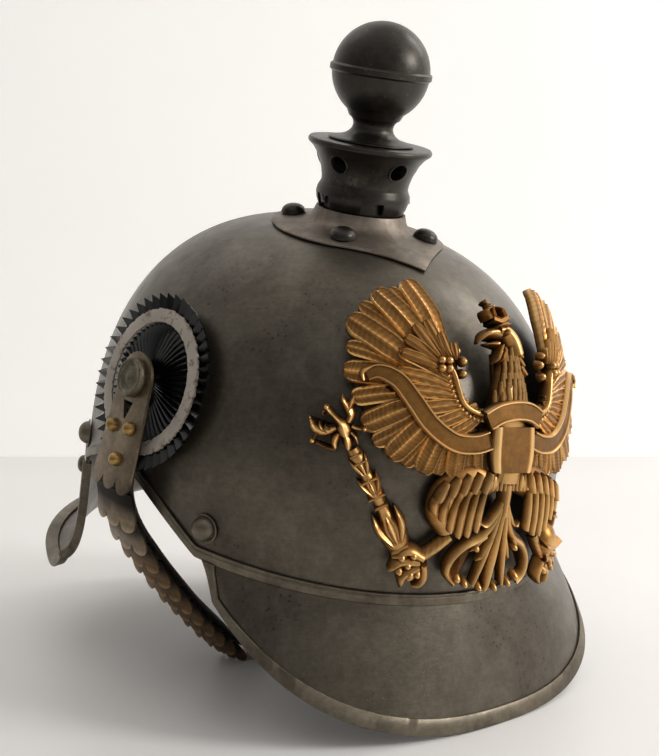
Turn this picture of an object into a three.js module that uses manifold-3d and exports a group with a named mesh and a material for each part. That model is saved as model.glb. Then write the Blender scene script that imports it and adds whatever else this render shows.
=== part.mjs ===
// A steel cavalry helmet with a ball finial, a pierced brass eagle plate, a cockade and scaled chin straps.
// Millimetres, +Z up, front towards -Y, the wearer's right side towards -X.
// It rests on the front edge of its front peak and on the loop of its chin strap, so it leans nose-down.
// Shapes of the helmet itself are given in its upright frame, whose origin is the crown point under the finial.
import * as THREE from 'three';
import { mergeVertices } from 'three/addons/utils/BufferGeometryUtils.js';
import { TessellateModifier } from 'three/addons/modifiers/TessellateModifier.js';
import Module from 'manifold-3d';

const wasm = await Module();
wasm.setup();

const rad = THREE.MathUtils.degToRad;

// Driving sizes
const GAP = 0.3;
const NOSE_DOWN = rad(12.68);
const SKULL = { halfLength: 116.5, halfWidth: 102, height: 122, centreY: 5.2, power: 2.5, wall: 1.2, ventR: 12 };
const RIM = { z: -125, slope: 0.04, archMid: 11, archHalf: 50, archRise: 21.5, archPower: 1.45 };
const BAND = { height: 4.2, thickness: 1.0 };
const SHEET = 1.1;
const PEAK = {
  halfAngle: rad(65.2), halfWidth: 91.9, startY: -53.2, startZ: -142.9, reach: 79.9, slope: Math.tan(rad(22.54)),
  sidePower: 2.37, frontPower: 2.64, bulge: 1.5,
};
const GUARD = { cornerAngle: rad(118.6), drop: 61, cornerLift: 3, flare: 31, flareRate: 1.2 };
const TRIM = { width: 6.5, lower: 4, thickness: 0.8 };
const CROWN = { turn: rad(-6), radius: 38.5, tip: 52.3, collarR: 19.8, collarTop: 7, filletR: 23.5, sheet: 1.0 };
const CROWN_RIVET = { count: 4, at: 30, first: rad(-52), radius: 5.6, height: 4.1 };
const VENT = {
  bottom: 7.6, sides: 20, holes: 5, holeR: 3.75, holeAt: 27.2, holeTurn: rad(-2.5),
  notchTurn: rad(-27), notchWide: 10, notchTop: 13,
};
const BALL = { radius: 21.15, centre: 66.9, bandR: 22.1, bandHalf: 1.5, sides: 24 };
const SIDE_RIVET = { radius: 6, height: 5, frontZ: -114.3, rearZ: -111.5 };
const GUARD_RIVET = { radius: 4.2, height: 3, angle: rad(122), drop: 6 };
const COCKADE = { y: 2.3, z: -66.8, teeth: 44, outerR: 37.8, valleyR: 35.4, ringR: 30.6, innerR: 25.3, dish: 420 };
const BOSS = { postR: 4, postTop: 9.9, buttonR: 8.1, buttonTop: 13.4, start: 0.5 };
const EAGLE = {
  centreZ: -75, globe: 104, turn: rad(-5.7), standOff: 3, lean: 6, leanFrom: -80, leanOver: 65,
  sheet: 1.8, raised: 4.4, banner: 3, bannerMiddle: 6, longestEdge: 20,
};
const EAGLE_POST = { across: [-40, 36], up: 6, radius: 2.5, sunk: 0.6, clear: 0.45 };
const LEATHER = { thickness: 2, topWidth: 22, bottomWidth: 17, start: 11, stations: 48, facingZ: 110 };
const HEAD_PLATE = { topR: 12, bottomHalf: 14.5, length: 46, lobe: 5, sheet: 1.2, holeR: 5.7, seat: 0.6, lift: 3.2 };
const HEAD_RIVET = { radius: 3, height: 3.2, spots: [[-6.5, 19], [6.5, 20.5], [-2, 33]] };
const SCALES = {
  perSide: 11, start: 43.5, firstStep: 12.6, shrink: 0.965, overlap: 5, firstHalf: 14.5, lastHalf: 10, lobe: 3.6,
  sheet: 0.9, seat: 0.9, lift: 1.95,
};
const SLIDE = { length: 9, wall: 1.5, foot: 0.4 };
const STAND = { flat: 0.35 };

// Colours of the real thing, one material for each piece
const STEEL = { color: 0x4e4a42, roughness: 0.5, metalness: 0.85 };
const DARK_STEEL = { color: 0x34342f, roughness: 0.45, metalness: 0.8 };
const GREY_STEEL = { color: 0x6f6a60, roughness: 0.5, metalness: 0.8 };
const GILT = { color: 0xb07a34, roughness: 0.4, metalness: 0.9 };
const NICKEL = { color: 0x8a7a62, roughness: 0.45, metalness: 0.9 };
const OLD_BRASS = { color: 0x7d5c33, roughness: 0.5, metalness: 0.85 };
const BLACK = { color: 0x121314, roughness: 0.3, metalness: 0 };
const WHITE = { color: 0xc9c5bb, roughness: 0.5, metalness: 0 };
const LEATHER_BLACK = { color: 0x17140f, roughness: 0.6, metalness: 0 };

const helmet = new THREE.Group();
const chin = new THREE.Group();

function place(group, name, geometry, look) {
  geometry.computeVertexNormals();
  const mesh = new THREE.Mesh(geometry, new THREE.MeshStandardMaterial(look));
  mesh.name = name;
  group.add(mesh);
  return mesh;
}

// Makes a closed body from points, four-sided faces and triangles, with its faces turned outwards
function bodyFrom(points, quads, triangles = []) {
  const index = triangles.flat();
  for (const [a, b, c, d] of quads) index.push(a, b, c, a, c, d);
  let volume = 0;
  for (let k = 0; k < index.length; k += 3) {
    const [a, b, c] = [points[index[k]], points[index[k + 1]], points[index[k + 2]]];
    volume += a.dot(new THREE.Vector3().crossVectors(b, c));
  }
  if (volume < 0) index.reverse();
  const geometry = new THREE.BufferGeometry();
  geometry.setAttribute('position', new THREE.Float32BufferAttribute(points.flatMap((p) => p.toArray()), 3));
  geometry.setIndex(index);
  return geometry;
}

// A thin wall between two skins, each a function of a column and a row
function wall(columns, rows, outer, inner, closed) {
  const points = [];
  for (const skin of [outer, inner]) {
    for (const row of rows) for (const column of columns) points.push(skin(column, row));
  }
  const at = (skin, i, j) => (skin * rows.length + j) * columns.length + (i % columns.length);
  const spans = closed ? columns.length : columns.length - 1;
  const last = rows.length - 1;
  const quads = [];
  for (let i = 0; i < spans; i++) {
    for (let j = 0; j < last; j++) {
      quads.push([at(0, i, j), at(0, i + 1, j), at(0, i + 1, j + 1), at(0, i, j + 1)]);
      quads.push([at(1, i, j), at(1, i, j + 1), at(1, i + 1, j + 1), at(1, i + 1, j)]);
    }
    quads.push([at(0, i + 1, 0), at(0, i, 0), at(1, i, 0), at(1, i + 1, 0)]);
    quads.push([at(0, i, last), at(0, i + 1, last), at(1, i + 1, last), at(1, i, last)]);
  }
  if (!closed) {
    for (let j = 0; j < last; j++) {
      quads.push([at(0, 0, j), at(0, 0, j + 1), at(1, 0, j + 1), at(1, 0, j)]);
      quads.push([at(0, spans, j + 1), at(0, spans, j), at(1, spans, j), at(1, spans, j + 1)]);
    }
  }
  return bodyFrom(points, quads);
}

// A bar whose closed outline is carried through a row of stations, with its two ends closed
function sweep(stations, outline, placed) {
  const size = outline.length;
  const points = stations.flatMap(placed);
  const quads = [];
  for (let i = 0; i < stations.length - 1; i++) {
    for (let k = 0; k < size; k++) {
      const next = (k + 1) % size;
      quads.push([i * size + k, i * size + next, (i + 1) * size + next, (i + 1) * size + k]);
    }
  }
  const faces = THREE.ShapeUtils.triangulateShape(outline.map(([x, y]) => new THREE.Vector2(x, y)), []);
  const inOrder = faces.some((face) => face.some((k, e) => k === 0 && face[(e + 1) % 3] === 1));
  const shift = points.length - size;
  const near = faces.map(([a, b, c]) => (inOrder ? [a, c, b] : [a, b, c]));
  const far = near.map(([a, b, c]) => [a + shift, c + shift, b + shift]);
  return bodyFrom(points, quads, [...near, ...far]);
}

// Steps evenly through the stretches between break points, keeping the break points
function steps(breaks, counts) {
  const values = [breaks[0]];
  counts.forEach((count, k) => {
    for (let i = 1; i <= count; i++) values.push(THREE.MathUtils.lerp(breaks[k], breaks[k + 1], i / count));
  });
  return values;
}

function toSolid(geometry) {
  const bare = geometry.clone();
  bare.deleteAttribute('normal');
  bare.deleteAttribute('uv');
  const merged = mergeVertices(bare, 1e-4);
  const mesh = new wasm.Mesh({
    numProp: 3, vertProperties: merged.attributes.position.array, triVerts: new Uint32Array(merged.index.array),
  });
  return new wasm.Manifold(mesh);
}

function toGeometry(solid) {
  const mesh = solid.getMesh();
  const geometry = new THREE.BufferGeometry();
  geometry.setAttribute('position', new THREE.BufferAttribute(new Float32Array(mesh.vertProperties), 3));
  geometry.setIndex(new THREE.BufferAttribute(new Uint32Array(mesh.triVerts), 1));
  return geometry;
}

// A turned piece about Z from its half outline of radius and height
function turned(outline, sides) {
  const lathe = new THREE.LatheGeometry(outline.map(([r, z]) => new THREE.Vector2(r, z)), sides);
  lathe.rotateX(Math.PI / 2);
  lathe.deleteAttribute('normal');
  lathe.deleteAttribute('uv');
  return mergeVertices(lathe, 1e-4);
}

function extruded(points, depth, holes = []) {
  const shape = new THREE.Shape(points.map(([x, y]) => new THREE.Vector2(x, y)));
  for (const hole of holes) shape.holes.push(new THREE.Path(hole.map(([x, y]) => new THREE.Vector2(x, y))));
  return new THREE.ExtrudeGeometry(shape, { depth, bevelEnabled: false });
}

function circle(x, y, radius, sides) {
  const points = [];
  for (let i = 0; i < sides; i++) {
    const angle = (2 * Math.PI * i) / sides;
    points.push([x + radius * Math.cos(angle), y + radius * Math.sin(angle)]);
  }
  return points;
}

// Skull: an oval dome of which each level is a scaled copy of the rim's oval. Angle 0 is the front.
function levelScale(z, grow = 0) {
  const rise = Math.max(z + SKULL.height, 0) / (SKULL.height + grow);
  return (1 - Math.min(rise, 1) ** SKULL.power) ** (1 / SKULL.power);
}

function skullPoint(angle, z, grow = 0) {
  const scale = levelScale(z, grow);
  return new THREE.Vector3(
    (SKULL.halfWidth + grow) * scale * Math.sin(angle),
    SKULL.centreY - (SKULL.halfLength + grow) * scale * Math.cos(angle),
    z,
  );
}

function domeHeight(x, y) {
  const oval = Math.hypot(x / SKULL.halfWidth, (y - SKULL.centreY) / SKULL.halfLength);
  return SKULL.height * ((1 - oval ** SKULL.power) ** (1 / SKULL.power) - 1);
}

function rimHeight(angle) {
  const y = SKULL.centreY - SKULL.halfLength * Math.cos(angle);
  const plane = RIM.z + RIM.slope * (y - SKULL.centreY);
  const across = Math.abs((y - RIM.archMid) / RIM.archHalf);
  return across < 1 ? plane + RIM.archRise * (1 - across ** RIM.archPower) : plane;
}

function angleAtY(y) {
  return Math.acos((SKULL.centreY - y) / SKULL.halfLength);
}

function rimColumns() {
  const frontCorner = angleAtY(RIM.archMid - RIM.archHalf);
  const breaks = [0, PEAK.halfAngle, frontCorner, GUARD.cornerAngle, Math.PI];
  const half = steps(breaks, [8, 1, 9, 7]);
  const other = half.slice(1, -1).reverse().map((angle) => 2 * Math.PI - angle);
  return [...half, ...other];
}

function makeSkull() {
  const top = -0.35;
  const frontRim = rimHeight(0);
  const levels = [top, -2.2, -6, -12.5, -22, -35, -52, -74, -100, frontRim];
  const rows = levels.map((z) => (top - z) / (top - frontRim));
  const skin = (grow) => (angle, row) => {
    const z = THREE.MathUtils.lerp(top, rimHeight(angle), row);
    if (row > 0) return skullPoint(angle, row === 1 ? z : z + grow * (1 - row), grow);
    const r = SKULL.ventR;
    return new THREE.Vector3(r * Math.sin(angle), -r * Math.cos(angle), domeHeight(0, -r) + grow);
  };
  place(helmet, 'skull', wall(rimColumns(), rows, skin(0), skin(-SKULL.wall), true), STEEL);
}

function makeRimBand() {
  const skin = (grow) => (angle, row) => skullPoint(angle, rimHeight(angle) + BAND.height * (1 - row), grow);
  const outer = skin(GAP + BAND.thickness);
  place(helmet, 'rim_band', wall(rimColumns(), [0, 1], outer, skin(GAP), true), GREY_STEEL);
}

// The unit normal of a skin at a column and row, by small steps to either side
function skinNormal(skin, column, row) {
  const step = 1e-3;
  const across = skin(column + step, row).sub(skin(column - step, row));
  const down = skin(column, row + step).sub(skin(column, row - step));
  return down.cross(across).normalize();
}

function offsetSkin(skin, distance) {
  return (column, row) => skin(column, row).addScaledVector(skinNormal(skin, column, row), distance);
}

const power = (value, exponent) => Math.sign(value) * Math.abs(value) ** exponent;

// Front peak: a sloping sheet from the rim to an edge curve that lies in one plane. Column -1 to 1, row 0 to 1.
function peakEdge(column) {
  const t = (column * Math.PI) / 2;
  const y = PEAK.startY - PEAK.reach * power(Math.cos(t), 2 / PEAK.frontPower);
  const x = PEAK.halfWidth * power(Math.sin(t), 2 / PEAK.sidePower);
  return new THREE.Vector3(x, y, PEAK.startZ + PEAK.slope * (y - PEAK.startY));
}

function peakSkin(column, row) {
  const angle = column * PEAK.halfAngle;
  const root = skullPoint(angle, rimHeight(angle), GAP + BAND.thickness / 2);
  root.z -= GAP;
  const point = root.lerp(peakEdge(Math.max(-1, Math.min(1, column))), row);
  point.z += PEAK.bulge * Math.sin(Math.PI * row);
  return point;
}

// Neck guard: it falls straight from the rim, then flares out. Column -1 to 1 from the left corner to the right.
function guardSkin(column, row) {
  const fromRear = column * (Math.PI - GUARD.cornerAngle);
  const angle = Math.PI - fromRear;
  const flare = GUARD.flare * Math.cos(GUARD.flareRate * fromRear);
  const drop = GUARD.drop - GUARD.cornerLift * Math.abs(column) ** 6;
  const root = skullPoint(angle, rimHeight(angle), GAP + BAND.thickness / 2);
  const out = new THREE.Vector3(Math.sin(angle) / SKULL.halfWidth, -Math.cos(angle) / SKULL.halfLength, 0).normalize();
  const down = [0, 0.75 * drop, 0.95 * drop, drop];
  const bezier = [(1 - row) ** 3, 3 * row * (1 - row) ** 2, 3 * row ** 2 * (1 - row), row ** 3];
  const fall = bezier.reduce((sum, weight, k) => sum + weight * down[k], 0);
  return root.addScaledVector(out, flare * bezier[3]).setZ(root.z - GAP - fall);
}

// The row of a skin that lies a given distance inside its edge, measured along the skin
function rowInside(skin, column, distance) {
  const stride = 0.002;
  let row = 1;
  let run = 0;
  while (run < distance && row > 0.5) {
    run += skin(column, row).distanceTo(skin(column, row - stride));
    row -= stride;
  }
  return row;
}

// The rolled edge of a sheet: a channel that grips it, as wide on top as the border in relief
function makeTrim(name, skin, outward, columns, look, slack) {
  const { width, lower, thickness } = TRIM;
  const top = thickness + slack;
  const bottom = -SHEET - slack;
  const outline = [
    [0, top], [width, top], [width, slack], [thickness, slack],
    [thickness, bottom], [lower, bottom], [lower, bottom - thickness], [0, bottom - thickness],
  ];
  const placed = (column) => outline.map(([inward, above]) => {
    const row = rowInside(skin, column, inward);
    const normal = skinNormal(skin, column, Math.min(row, 0.99));
    return skin(column, row).addScaledVector(normal, outward * above);
  });
  place(helmet, name, sweep(columns, outline, placed), look);
}

// Columns from -1 to 1; a power below 1 bunches them towards the two ends
function spread(count, bunching = 1) {
  const values = [];
  for (let i = 0; i <= count; i++) {
    const t = (2 * i) / count - 1;
    values.push(Math.sign(t) * Math.abs(t) ** bunching);
  }
  return values;
}

function makePeaks() {
  const insideTrim = TRIM.thickness + GAP;
  const shortened = (skin) => (column, row) => skin(column, row * rowInside(skin, column, insideTrim));
  const frontColumns = spread(26, 0.9);
  const front = shortened(peakSkin);
  const frontRows = [0, 0.25, 0.5, 0.75, 1];
  const frontUnder = offsetSkin(front, SHEET * downward(front));
  place(helmet, 'front_peak', wall(frontColumns, frontRows, front, frontUnder, false), STEEL);
  makeTrim('front_peak_trim', peakSkin, -downward(peakSkin), frontColumns, GREY_STEEL, GAP);
  const rearColumns = spread(18);
  const rear = shortened(guardSkin);
  const rearRows = [0, 0.3, 0.55, 0.72, 0.83, 0.92, 1];
  const rearUnder = offsetSkin(rear, SHEET * downward(rear));
  place(helmet, 'neck_guard', wall(rearColumns, rearRows, rear, rearUnder, false), STEEL);
  makeTrim('neck_guard_trim', guardSkin, -downward(guardSkin), rearColumns, GREY_STEEL, 2 * GAP);
}

// The sign that turns a skin's normal towards its underside
function downward(skin) {
  return Math.sign(-skinNormal(skin, 0, 0.95).z);
}

// Crown plate: a sheet of teardrop outline with a collar that carries the finial
function crownReach(angle) {
  const tangent = Math.acos(CROWN.radius / CROWN.tip);
  const away = Math.abs(THREE.MathUtils.euclideanModulo(angle + Math.PI, 2 * Math.PI) - Math.PI);
  return away < tangent ? CROWN.radius / Math.cos(tangent - away) : CROWN.radius;
}

function makeCrownPlate() {
  const rows = [
    { radius: () => CROWN.collarR, z: CROWN.collarTop },
    { radius: () => CROWN.collarR + 0.3, lift: 3.6 },
    { radius: () => CROWN.filletR, lift: GAP + CROWN.sheet + 0.5 },
    { radius: (angle) => (CROWN.filletR + crownReach(angle)) / 2, lift: 2 * GAP + CROWN.sheet },
    { radius: (angle) => crownReach(angle), lift: 2 * GAP + CROWN.sheet },
  ];
  const skin = (inside) => (angle, row) => {
    const { radius, z, lift } = rows[row];
    const r = radius(angle) - (row < 3 ? inside : 0);
    const x = r * Math.sin(angle + CROWN.turn);
    const y = -r * Math.cos(angle + CROWN.turn);
    return new THREE.Vector3(x, y, z ?? domeHeight(x, y) + lift - (row > 1 ? inside : inside / 2));
  };
  const tangent = Math.acos(CROWN.radius / CROWN.tip);
  const columns = steps([0, tangent, 2 * Math.PI - tangent, 2 * Math.PI], [3, 18, 3]).slice(0, -1);
  place(helmet, 'crown_plate', wall(columns, [0, 1, 2, 3, 4], skin(0), skin(CROWN.sheet), true), GREY_STEEL);
}

// A dome-headed rivet whose flat back lies on a point of the dome, along the dome's normal there
function domeNormal(point) {
  const slope = 0.5;
  const dx = (domeHeight(point.x + slope, point.y) - domeHeight(point.x - slope, point.y)) / (2 * slope);
  const dy = (domeHeight(point.x, point.y + slope) - domeHeight(point.x, point.y - slope)) / (2 * slope);
  return new THREE.Vector3(-dx, -dy, 1).normalize();
}

function rivetHead(radius, height) {
  const rises = [[1, 0], [0.94, 0.38], [0.66, 0.78], [0, 1]];
  const outline = [[0, 0], ...rises.map(([across, up]) => [radius * across, height * up])];
  return turned(outline, radius > 5 ? 12 : 8);
}

function seat(mesh, point, normal) {
  mesh.position.copy(point);
  mesh.quaternion.setFromUnitVectors(new THREE.Vector3(0, 0, 1), normal);
}

function makeRivets() {
  for (let i = 0; i < CROWN_RIVET.count; i++) {
    const angle = CROWN_RIVET.first + (i * 2 * Math.PI) / CROWN_RIVET.count;
    const x = CROWN_RIVET.at * Math.sin(angle);
    const y = -CROWN_RIVET.at * Math.cos(angle);
    const normal = domeNormal({ x, y });
    const foot = new THREE.Vector3(x, y, domeHeight(x, y)).addScaledVector(normal, 3 * GAP + CROWN.sheet + 0.1);
    const head = rivetHead(CROWN_RIVET.radius, CROWN_RIVET.height);
    seat(place(helmet, `crown_rivet_${i + 1}`, head, DARK_STEEL), foot, normal);
  }
  for (const [side, sign] of [['right', -1], ['left', 1]]) {
    const ends = [
      ['front', PEAK.halfAngle + rad(1), SIDE_RIVET.frontZ],
      ['rear', GUARD.cornerAngle + rad(1.5), SIDE_RIVET.rearZ],
    ];
    for (const [end, angle, z] of ends) {
      const normal = outwardAt(sign * angle);
      const foot = skullPoint(sign * angle, z).addScaledVector(normal, GAP + 0.1);
      const rivet = place(helmet, `${end}_rivet_${side}`, rivetHead(SIDE_RIVET.radius, SIDE_RIVET.height), STEEL);
      seat(rivet, foot, normal);
    }
    const angle = sign * GUARD_RIVET.angle;
    const foot = skullPoint(angle, rimHeight(angle) - GUARD_RIVET.drop, 2 * GAP + BAND.thickness / 2 + 0.2);
    const rivet = place(helmet, `guard_rivet_${side}`, rivetHead(GUARD_RIVET.radius, GUARD_RIVET.height), STEEL);
    seat(rivet, foot, outwardAt(angle));
  }
}

// The level direction that points straight out of the rim's oval
function outwardAt(angle) {
  return new THREE.Vector3(Math.sin(angle) / SKULL.halfWidth, -Math.cos(angle) / SKULL.halfLength, 0).normalize();
}

// Vent collar: a hollow turned cup with round holes above and notches at its foot
function makeVentCollar() {
  const outline = [
    [18.0, 7.6], [19.2, 7.6], [20.8, 13], [19.2, 18.3], [20, 23], [22, 28.4], [24.8, 32.6], [26.9, 34],
    [27.3, 35.3], [26.6, 36.6], [5.5, 36.6], [5.5, 35.4], [24.2, 35.4], [20.8, 28.4], [18.8, 23],
    [18.0, 18.3], [19.6, 13], [18.0, 7.6],
  ];
  let solid = toSolid(turned(outline, VENT.sides));
  for (let i = 0; i < VENT.holes; i++) {
    const angle = VENT.holeTurn + (i * 2 * Math.PI) / VENT.holes;
    const hole = new THREE.CylinderGeometry(VENT.holeR, VENT.holeR, 20, 8);
    hole.translate(0, -22, 0).rotateZ(angle).translate(0, 0, VENT.holeAt);
    solid = solid.subtract(toSolid(hole));
    const notch = new THREE.BoxGeometry(VENT.notchWide, 12, 2 * (VENT.notchTop - VENT.bottom));
    notch.translate(0, -20, VENT.bottom).rotateZ(angle - VENT.holeTurn + VENT.notchTurn);
    solid = solid.subtract(toSolid(notch));
  }
  place(helmet, 'vent_collar', toGeometry(solid), DARK_STEEL);
}

function makeBallFinial() {
  const outline = [
    [0, 34], [5, 34], [5, 36.9], [18.5, 36.9], [18.5, 38.3], [17.6, 39], [11, 39.5], [9.3, 41], [8.8, 43.5],
    [9.6, 45.7], [12.5, 47.6],
  ];
  const arc = (angle) => [BALL.radius * Math.cos(angle), BALL.centre + BALL.radius * Math.sin(angle)];
  const edge = Math.asin(BALL.bandHalf / BALL.radius);
  for (const angle of steps([rad(-54), -edge], [4])) outline.push(arc(angle));
  outline.push([BALL.bandR, BALL.centre - BALL.bandHalf], [BALL.bandR, BALL.centre + BALL.bandHalf]);
  for (const angle of steps([edge, Math.PI / 2], [6])) outline.push(arc(angle));
  outline[outline.length - 1] = [0, BALL.centre + BALL.radius];
  place(helmet, 'ball_finial', turned(outline, BALL.sides), DARK_STEEL);
}

// Cockade and the bosses that carry the chin scales. Both are stacked along the dome's normal at the ear.
function earPoint(sign) {
  const z = COCKADE.z;
  const across = Math.sqrt(1 - ((COCKADE.y - SKULL.centreY) / (SKULL.halfLength * levelScale(z))) ** 2);
  return new THREE.Vector3(sign * SKULL.halfWidth * levelScale(z) * across, COCKADE.y, z);
}

function dished(geometry) {
  const position = geometry.attributes.position;
  for (let i = 0; i < position.count; i++) {
    const r = Math.hypot(position.getX(i), position.getY(i));
    position.setZ(i, position.getZ(i) - (r * r) / (2 * COCKADE.dish));
  }
  return geometry;
}

function makeCockade() {
  const foot = earPoint(-1);
  const normal = domeNormal(foot);
  const teeth = [];
  for (let i = 0; i < 2 * COCKADE.teeth; i++) {
    const radius = i % 2 ? COCKADE.valleyR : COCKADE.outerR;
    const angle = (Math.PI * i) / COCKADE.teeth;
    teeth.push({ radius, angle });
  }
  const skin = (z) => (tooth, row) => {
    const radius = row ? tooth.radius : COCKADE.ringR - 2;
    return new THREE.Vector3(radius * Math.cos(tooth.angle), radius * Math.sin(tooth.angle), z);
  };
  const outer = place(helmet, 'cockade_outer', dished(wall(teeth, [0, 1], skin(2.3), skin(0.5), true)), BLACK);
  const { innerR, ringR } = COCKADE;
  const ringOutline = [[innerR, 2.7], [ringR, 2.7], [ringR, 3.2], [29, 4], [innerR, 3.6], [innerR, 2.7]];
  const ring = place(helmet, 'cockade_ring', dished(turned(ringOutline, 32)), WHITE);
  const centreR = innerR - GAP;
  const holeR = BOSS.postR + GAP;
  const centreOutline = [[holeR, 0.5], [centreR, 0.5], [centreR, 3.4], [15, 3.9], [holeR, 4.1], [holeR, 0.5]];
  const centre = place(helmet, 'cockade_centre', dished(turned(centreOutline, 24)), BLACK);
  for (const mesh of [outer, ring, centre]) seat(mesh, foot, normal);
}

function makeBosses() {
  for (const [side, sign] of [['right', -1], ['left', 1]]) {
    const { postR, postTop, buttonR, buttonTop, start } = BOSS;
    const outline = [
      [0, start], [postR, start], [postR, postTop], [buttonR, postTop], [buttonR, buttonTop - 1.6],
      [buttonR - 1.4, buttonTop - 0.4], [2.6, buttonTop], [2.2, buttonTop + 1.6], [0, buttonTop + 2],
    ];
    const boss = place(helmet, `chin_boss_${side}`, turned(outline, 16), NICKEL);
    const foot = earPoint(sign);
    seat(boss, foot, domeNormal(foot));
  }
}

// Eagle plate: drawn flat about its chest, then laid over the front of the dome
const MIDLINE = -2;
const WING_ROOT = [-24, 30];
const WING_TIPS = [
  { x: -46, y: 80, r: 5.5 }, { x: -55.5, y: 75, r: 2.5 }, { x: -64, y: 73, r: 5.5 }, { x: -70, y: 66, r: 2.2 },
  { x: -76, y: 57, r: 5.5 }, { x: -74.5, y: 42, r: 2.5 }, { x: -76, y: 33, r: 4.5 }, { x: -70, y: 21, r: 3.5 },
  { x: -66.5, y: 12.5, r: 4 }, { x: -56, y: 2, r: 4.5 }, { x: -47, y: 1.3, r: 3 }, { x: -40, y: -2.2, r: 4.2 },
  { x: -33, y: -0.3, r: 2.5 }, { x: -27, y: -2, r: 3.6 }, { x: -20.5, y: 0.5, r: 2.5 }, { x: -15, y: 0.5, r: 3 },
];
const WING_INNER = [
  [-13, 24.7], [-22.7, 25.9], [-27, 27], [-29.2, 31.3], [-27.7, 36.4], [-24.6, 41], [-25, 45.5], [-28, 48.8],
  [-35.4, 53], [-41.5, 59], [-43, 68],
];
const BODY = [
  [-13, -1], [-14.9, 18], [-18.6, 25.3], [-13, 31], [-10.5, 38], [-10, 44], [-13.5, 48.5], [-18, 48.8], [-22.5, 52],
  [-20.5, 54.6], [-14, 57], [-14, 60], [-18.5, 64], [-14.5, 66.5], [-13.5, 71.5], [-10.5, 71.5], [-9.5, 66.5],
  [-2, 66], [2.5, 62], [1.5, 58], [5.5, 52], [8.8, 45], [9, 37], [10.5, 31], [14.6, 25], [11.5, 18], [10, -1],
];
const THIGH = [
  [-10, 1], [-27, -2.5], [-34, -5.4], [-37, -12.7], [-33.4, -17.8], [-24.8, -23.6], [-16, -23], [-12.5, -14],
];
const LEG = [[-23, -21], [-17, -22], [-26, -31], [-35, -44], [-41, -42], [-42, -34], [-33, -29.5]];
const TAIL_HALF = [
  [-2, -4], [-8, -6], [-6.5, -14], [-11, -19.5], [-13.5, -18], [-15.5, -21], [-9, -25.5], [-18, -31], [-23.5, -37],
  [-22, -44], [-13, -44.5], [-6, -45.5], [-2, -46],
];
const TAIL_HOLES = [[[-16, -35.5], [-9.5, -30.5], [-10, -37.5], [-15.5, -39.5]]];
const SCEPTRE_LINE = { foot: [-37, -37], head: [-69, 3], halfWidths: [3.5, 5.2, 2.2, 2.8, 1.8, 3.2, 2] };
const SMALL_EAGLE = [
  [-71, -2], [-66, 4], [-66, 10], [-70, 13], [-68.5, 20], [-72.5, 24], [-75.5, 16], [-80, 14], [-83.5, 19], [-86, 15],
  [-82, 11], [-88, 9], [-86, 3], [-79, 6], [-75.5, 3],
];
const ORB = { x: 30, y: -27, r: 6 };
const BANNER_SIDE = [
  [-67, 35, 4], [-57.8, 35, 3.8], [-48.6, 26.5, 4], [-40.4, 17.2, 4], [-30.2, 11.5, 4], [-14, 13, 4],
];
const BANNER_MIDDLE = [[-17, 21, 4.6], [-9.5, 24.8, 4.6], [-1.5, 25.6, 4.6], [10, 23, 4.6]];

const mirrored = (points) => points.map(([x, y, ...rest]) => [2 * MIDLINE - x, y, ...rest]).reverse();

function wingOutline() {
  const points = [];
  for (const { x, y, r } of WING_TIPS) {
    const out = new THREE.Vector2(x - WING_ROOT[0], y - WING_ROOT[1]).normalize();
    const heading = out.angle();
    for (const turn of [-75, -25, 25, 75]) {
      const angle = heading + rad(turn);
      points.push([x - out.x * r + r * Math.cos(angle), y - out.y * r + r * Math.sin(angle)]);
    }
  }
  return [...points, ...WING_INNER];
}

function ribbon(line) {
  const left = line.map(([x, y, half]) => [x, y + half]);
  const right = line.map(([x, y, half]) => [x, y - half]).reverse();
  return [...left, ...right];
}

function sceptreOutline() {
  const { foot, head, halfWidths } = SCEPTRE_LINE;
  const along = new THREE.Vector2(head[0] - foot[0], head[1] - foot[1]);
  const side = new THREE.Vector2(-along.y, along.x).normalize();
  const edge = (sign) => halfWidths.map((half, k) => {
    const share = k / (halfWidths.length - 1);
    return [foot[0] + along.x * share + sign * side.x * half, foot[1] + along.y * share + sign * side.y * half];
  });
  return [...edge(1), ...edge(-1).reverse()];
}

function eagleSurface(x, y, depth) {
  const turnedX = x * Math.cos(EAGLE.turn) - y * Math.sin(EAGLE.turn);
  const turnedY = x * Math.sin(EAGLE.turn) + y * Math.cos(EAGLE.turn);
  const reach = Math.hypot(turnedX, turnedY);
  const angle = reach / EAGLE.globe;
  const share = reach > 0 ? Math.sin(angle) / reach : 0;
  const direction = new THREE.Vector3(turnedX * share, -Math.cos(angle), turnedY * share);
  const centre = new THREE.Vector3(0, SKULL.centreY - SKULL.halfLength + EAGLE.globe, EAGLE.centreZ);
  let near = 60;
  let far = 200;
  for (let i = 0; i < 30; i++) {
    const middle = (near + far) / 2;
    const p = centre.clone().addScaledVector(direction, middle);
    const lean = EAGLE.lean * THREE.MathUtils.clamp((p.z - EAGLE.leanFrom) / EAGLE.leanOver, 0, 1) ** 2;
    const grow = EAGLE.standOff + lean + depth;
    const oval = Math.hypot(p.x / (SKULL.halfWidth + grow), (p.y - SKULL.centreY) / (SKULL.halfLength + grow));
    const rise = Math.max(p.z + SKULL.height, 0) / (SKULL.height + grow);
    if (oval ** SKULL.power + rise ** SKULL.power < 1) near = middle;
    else far = middle;
  }
  return centre.addScaledVector(direction, near);
}

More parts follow.
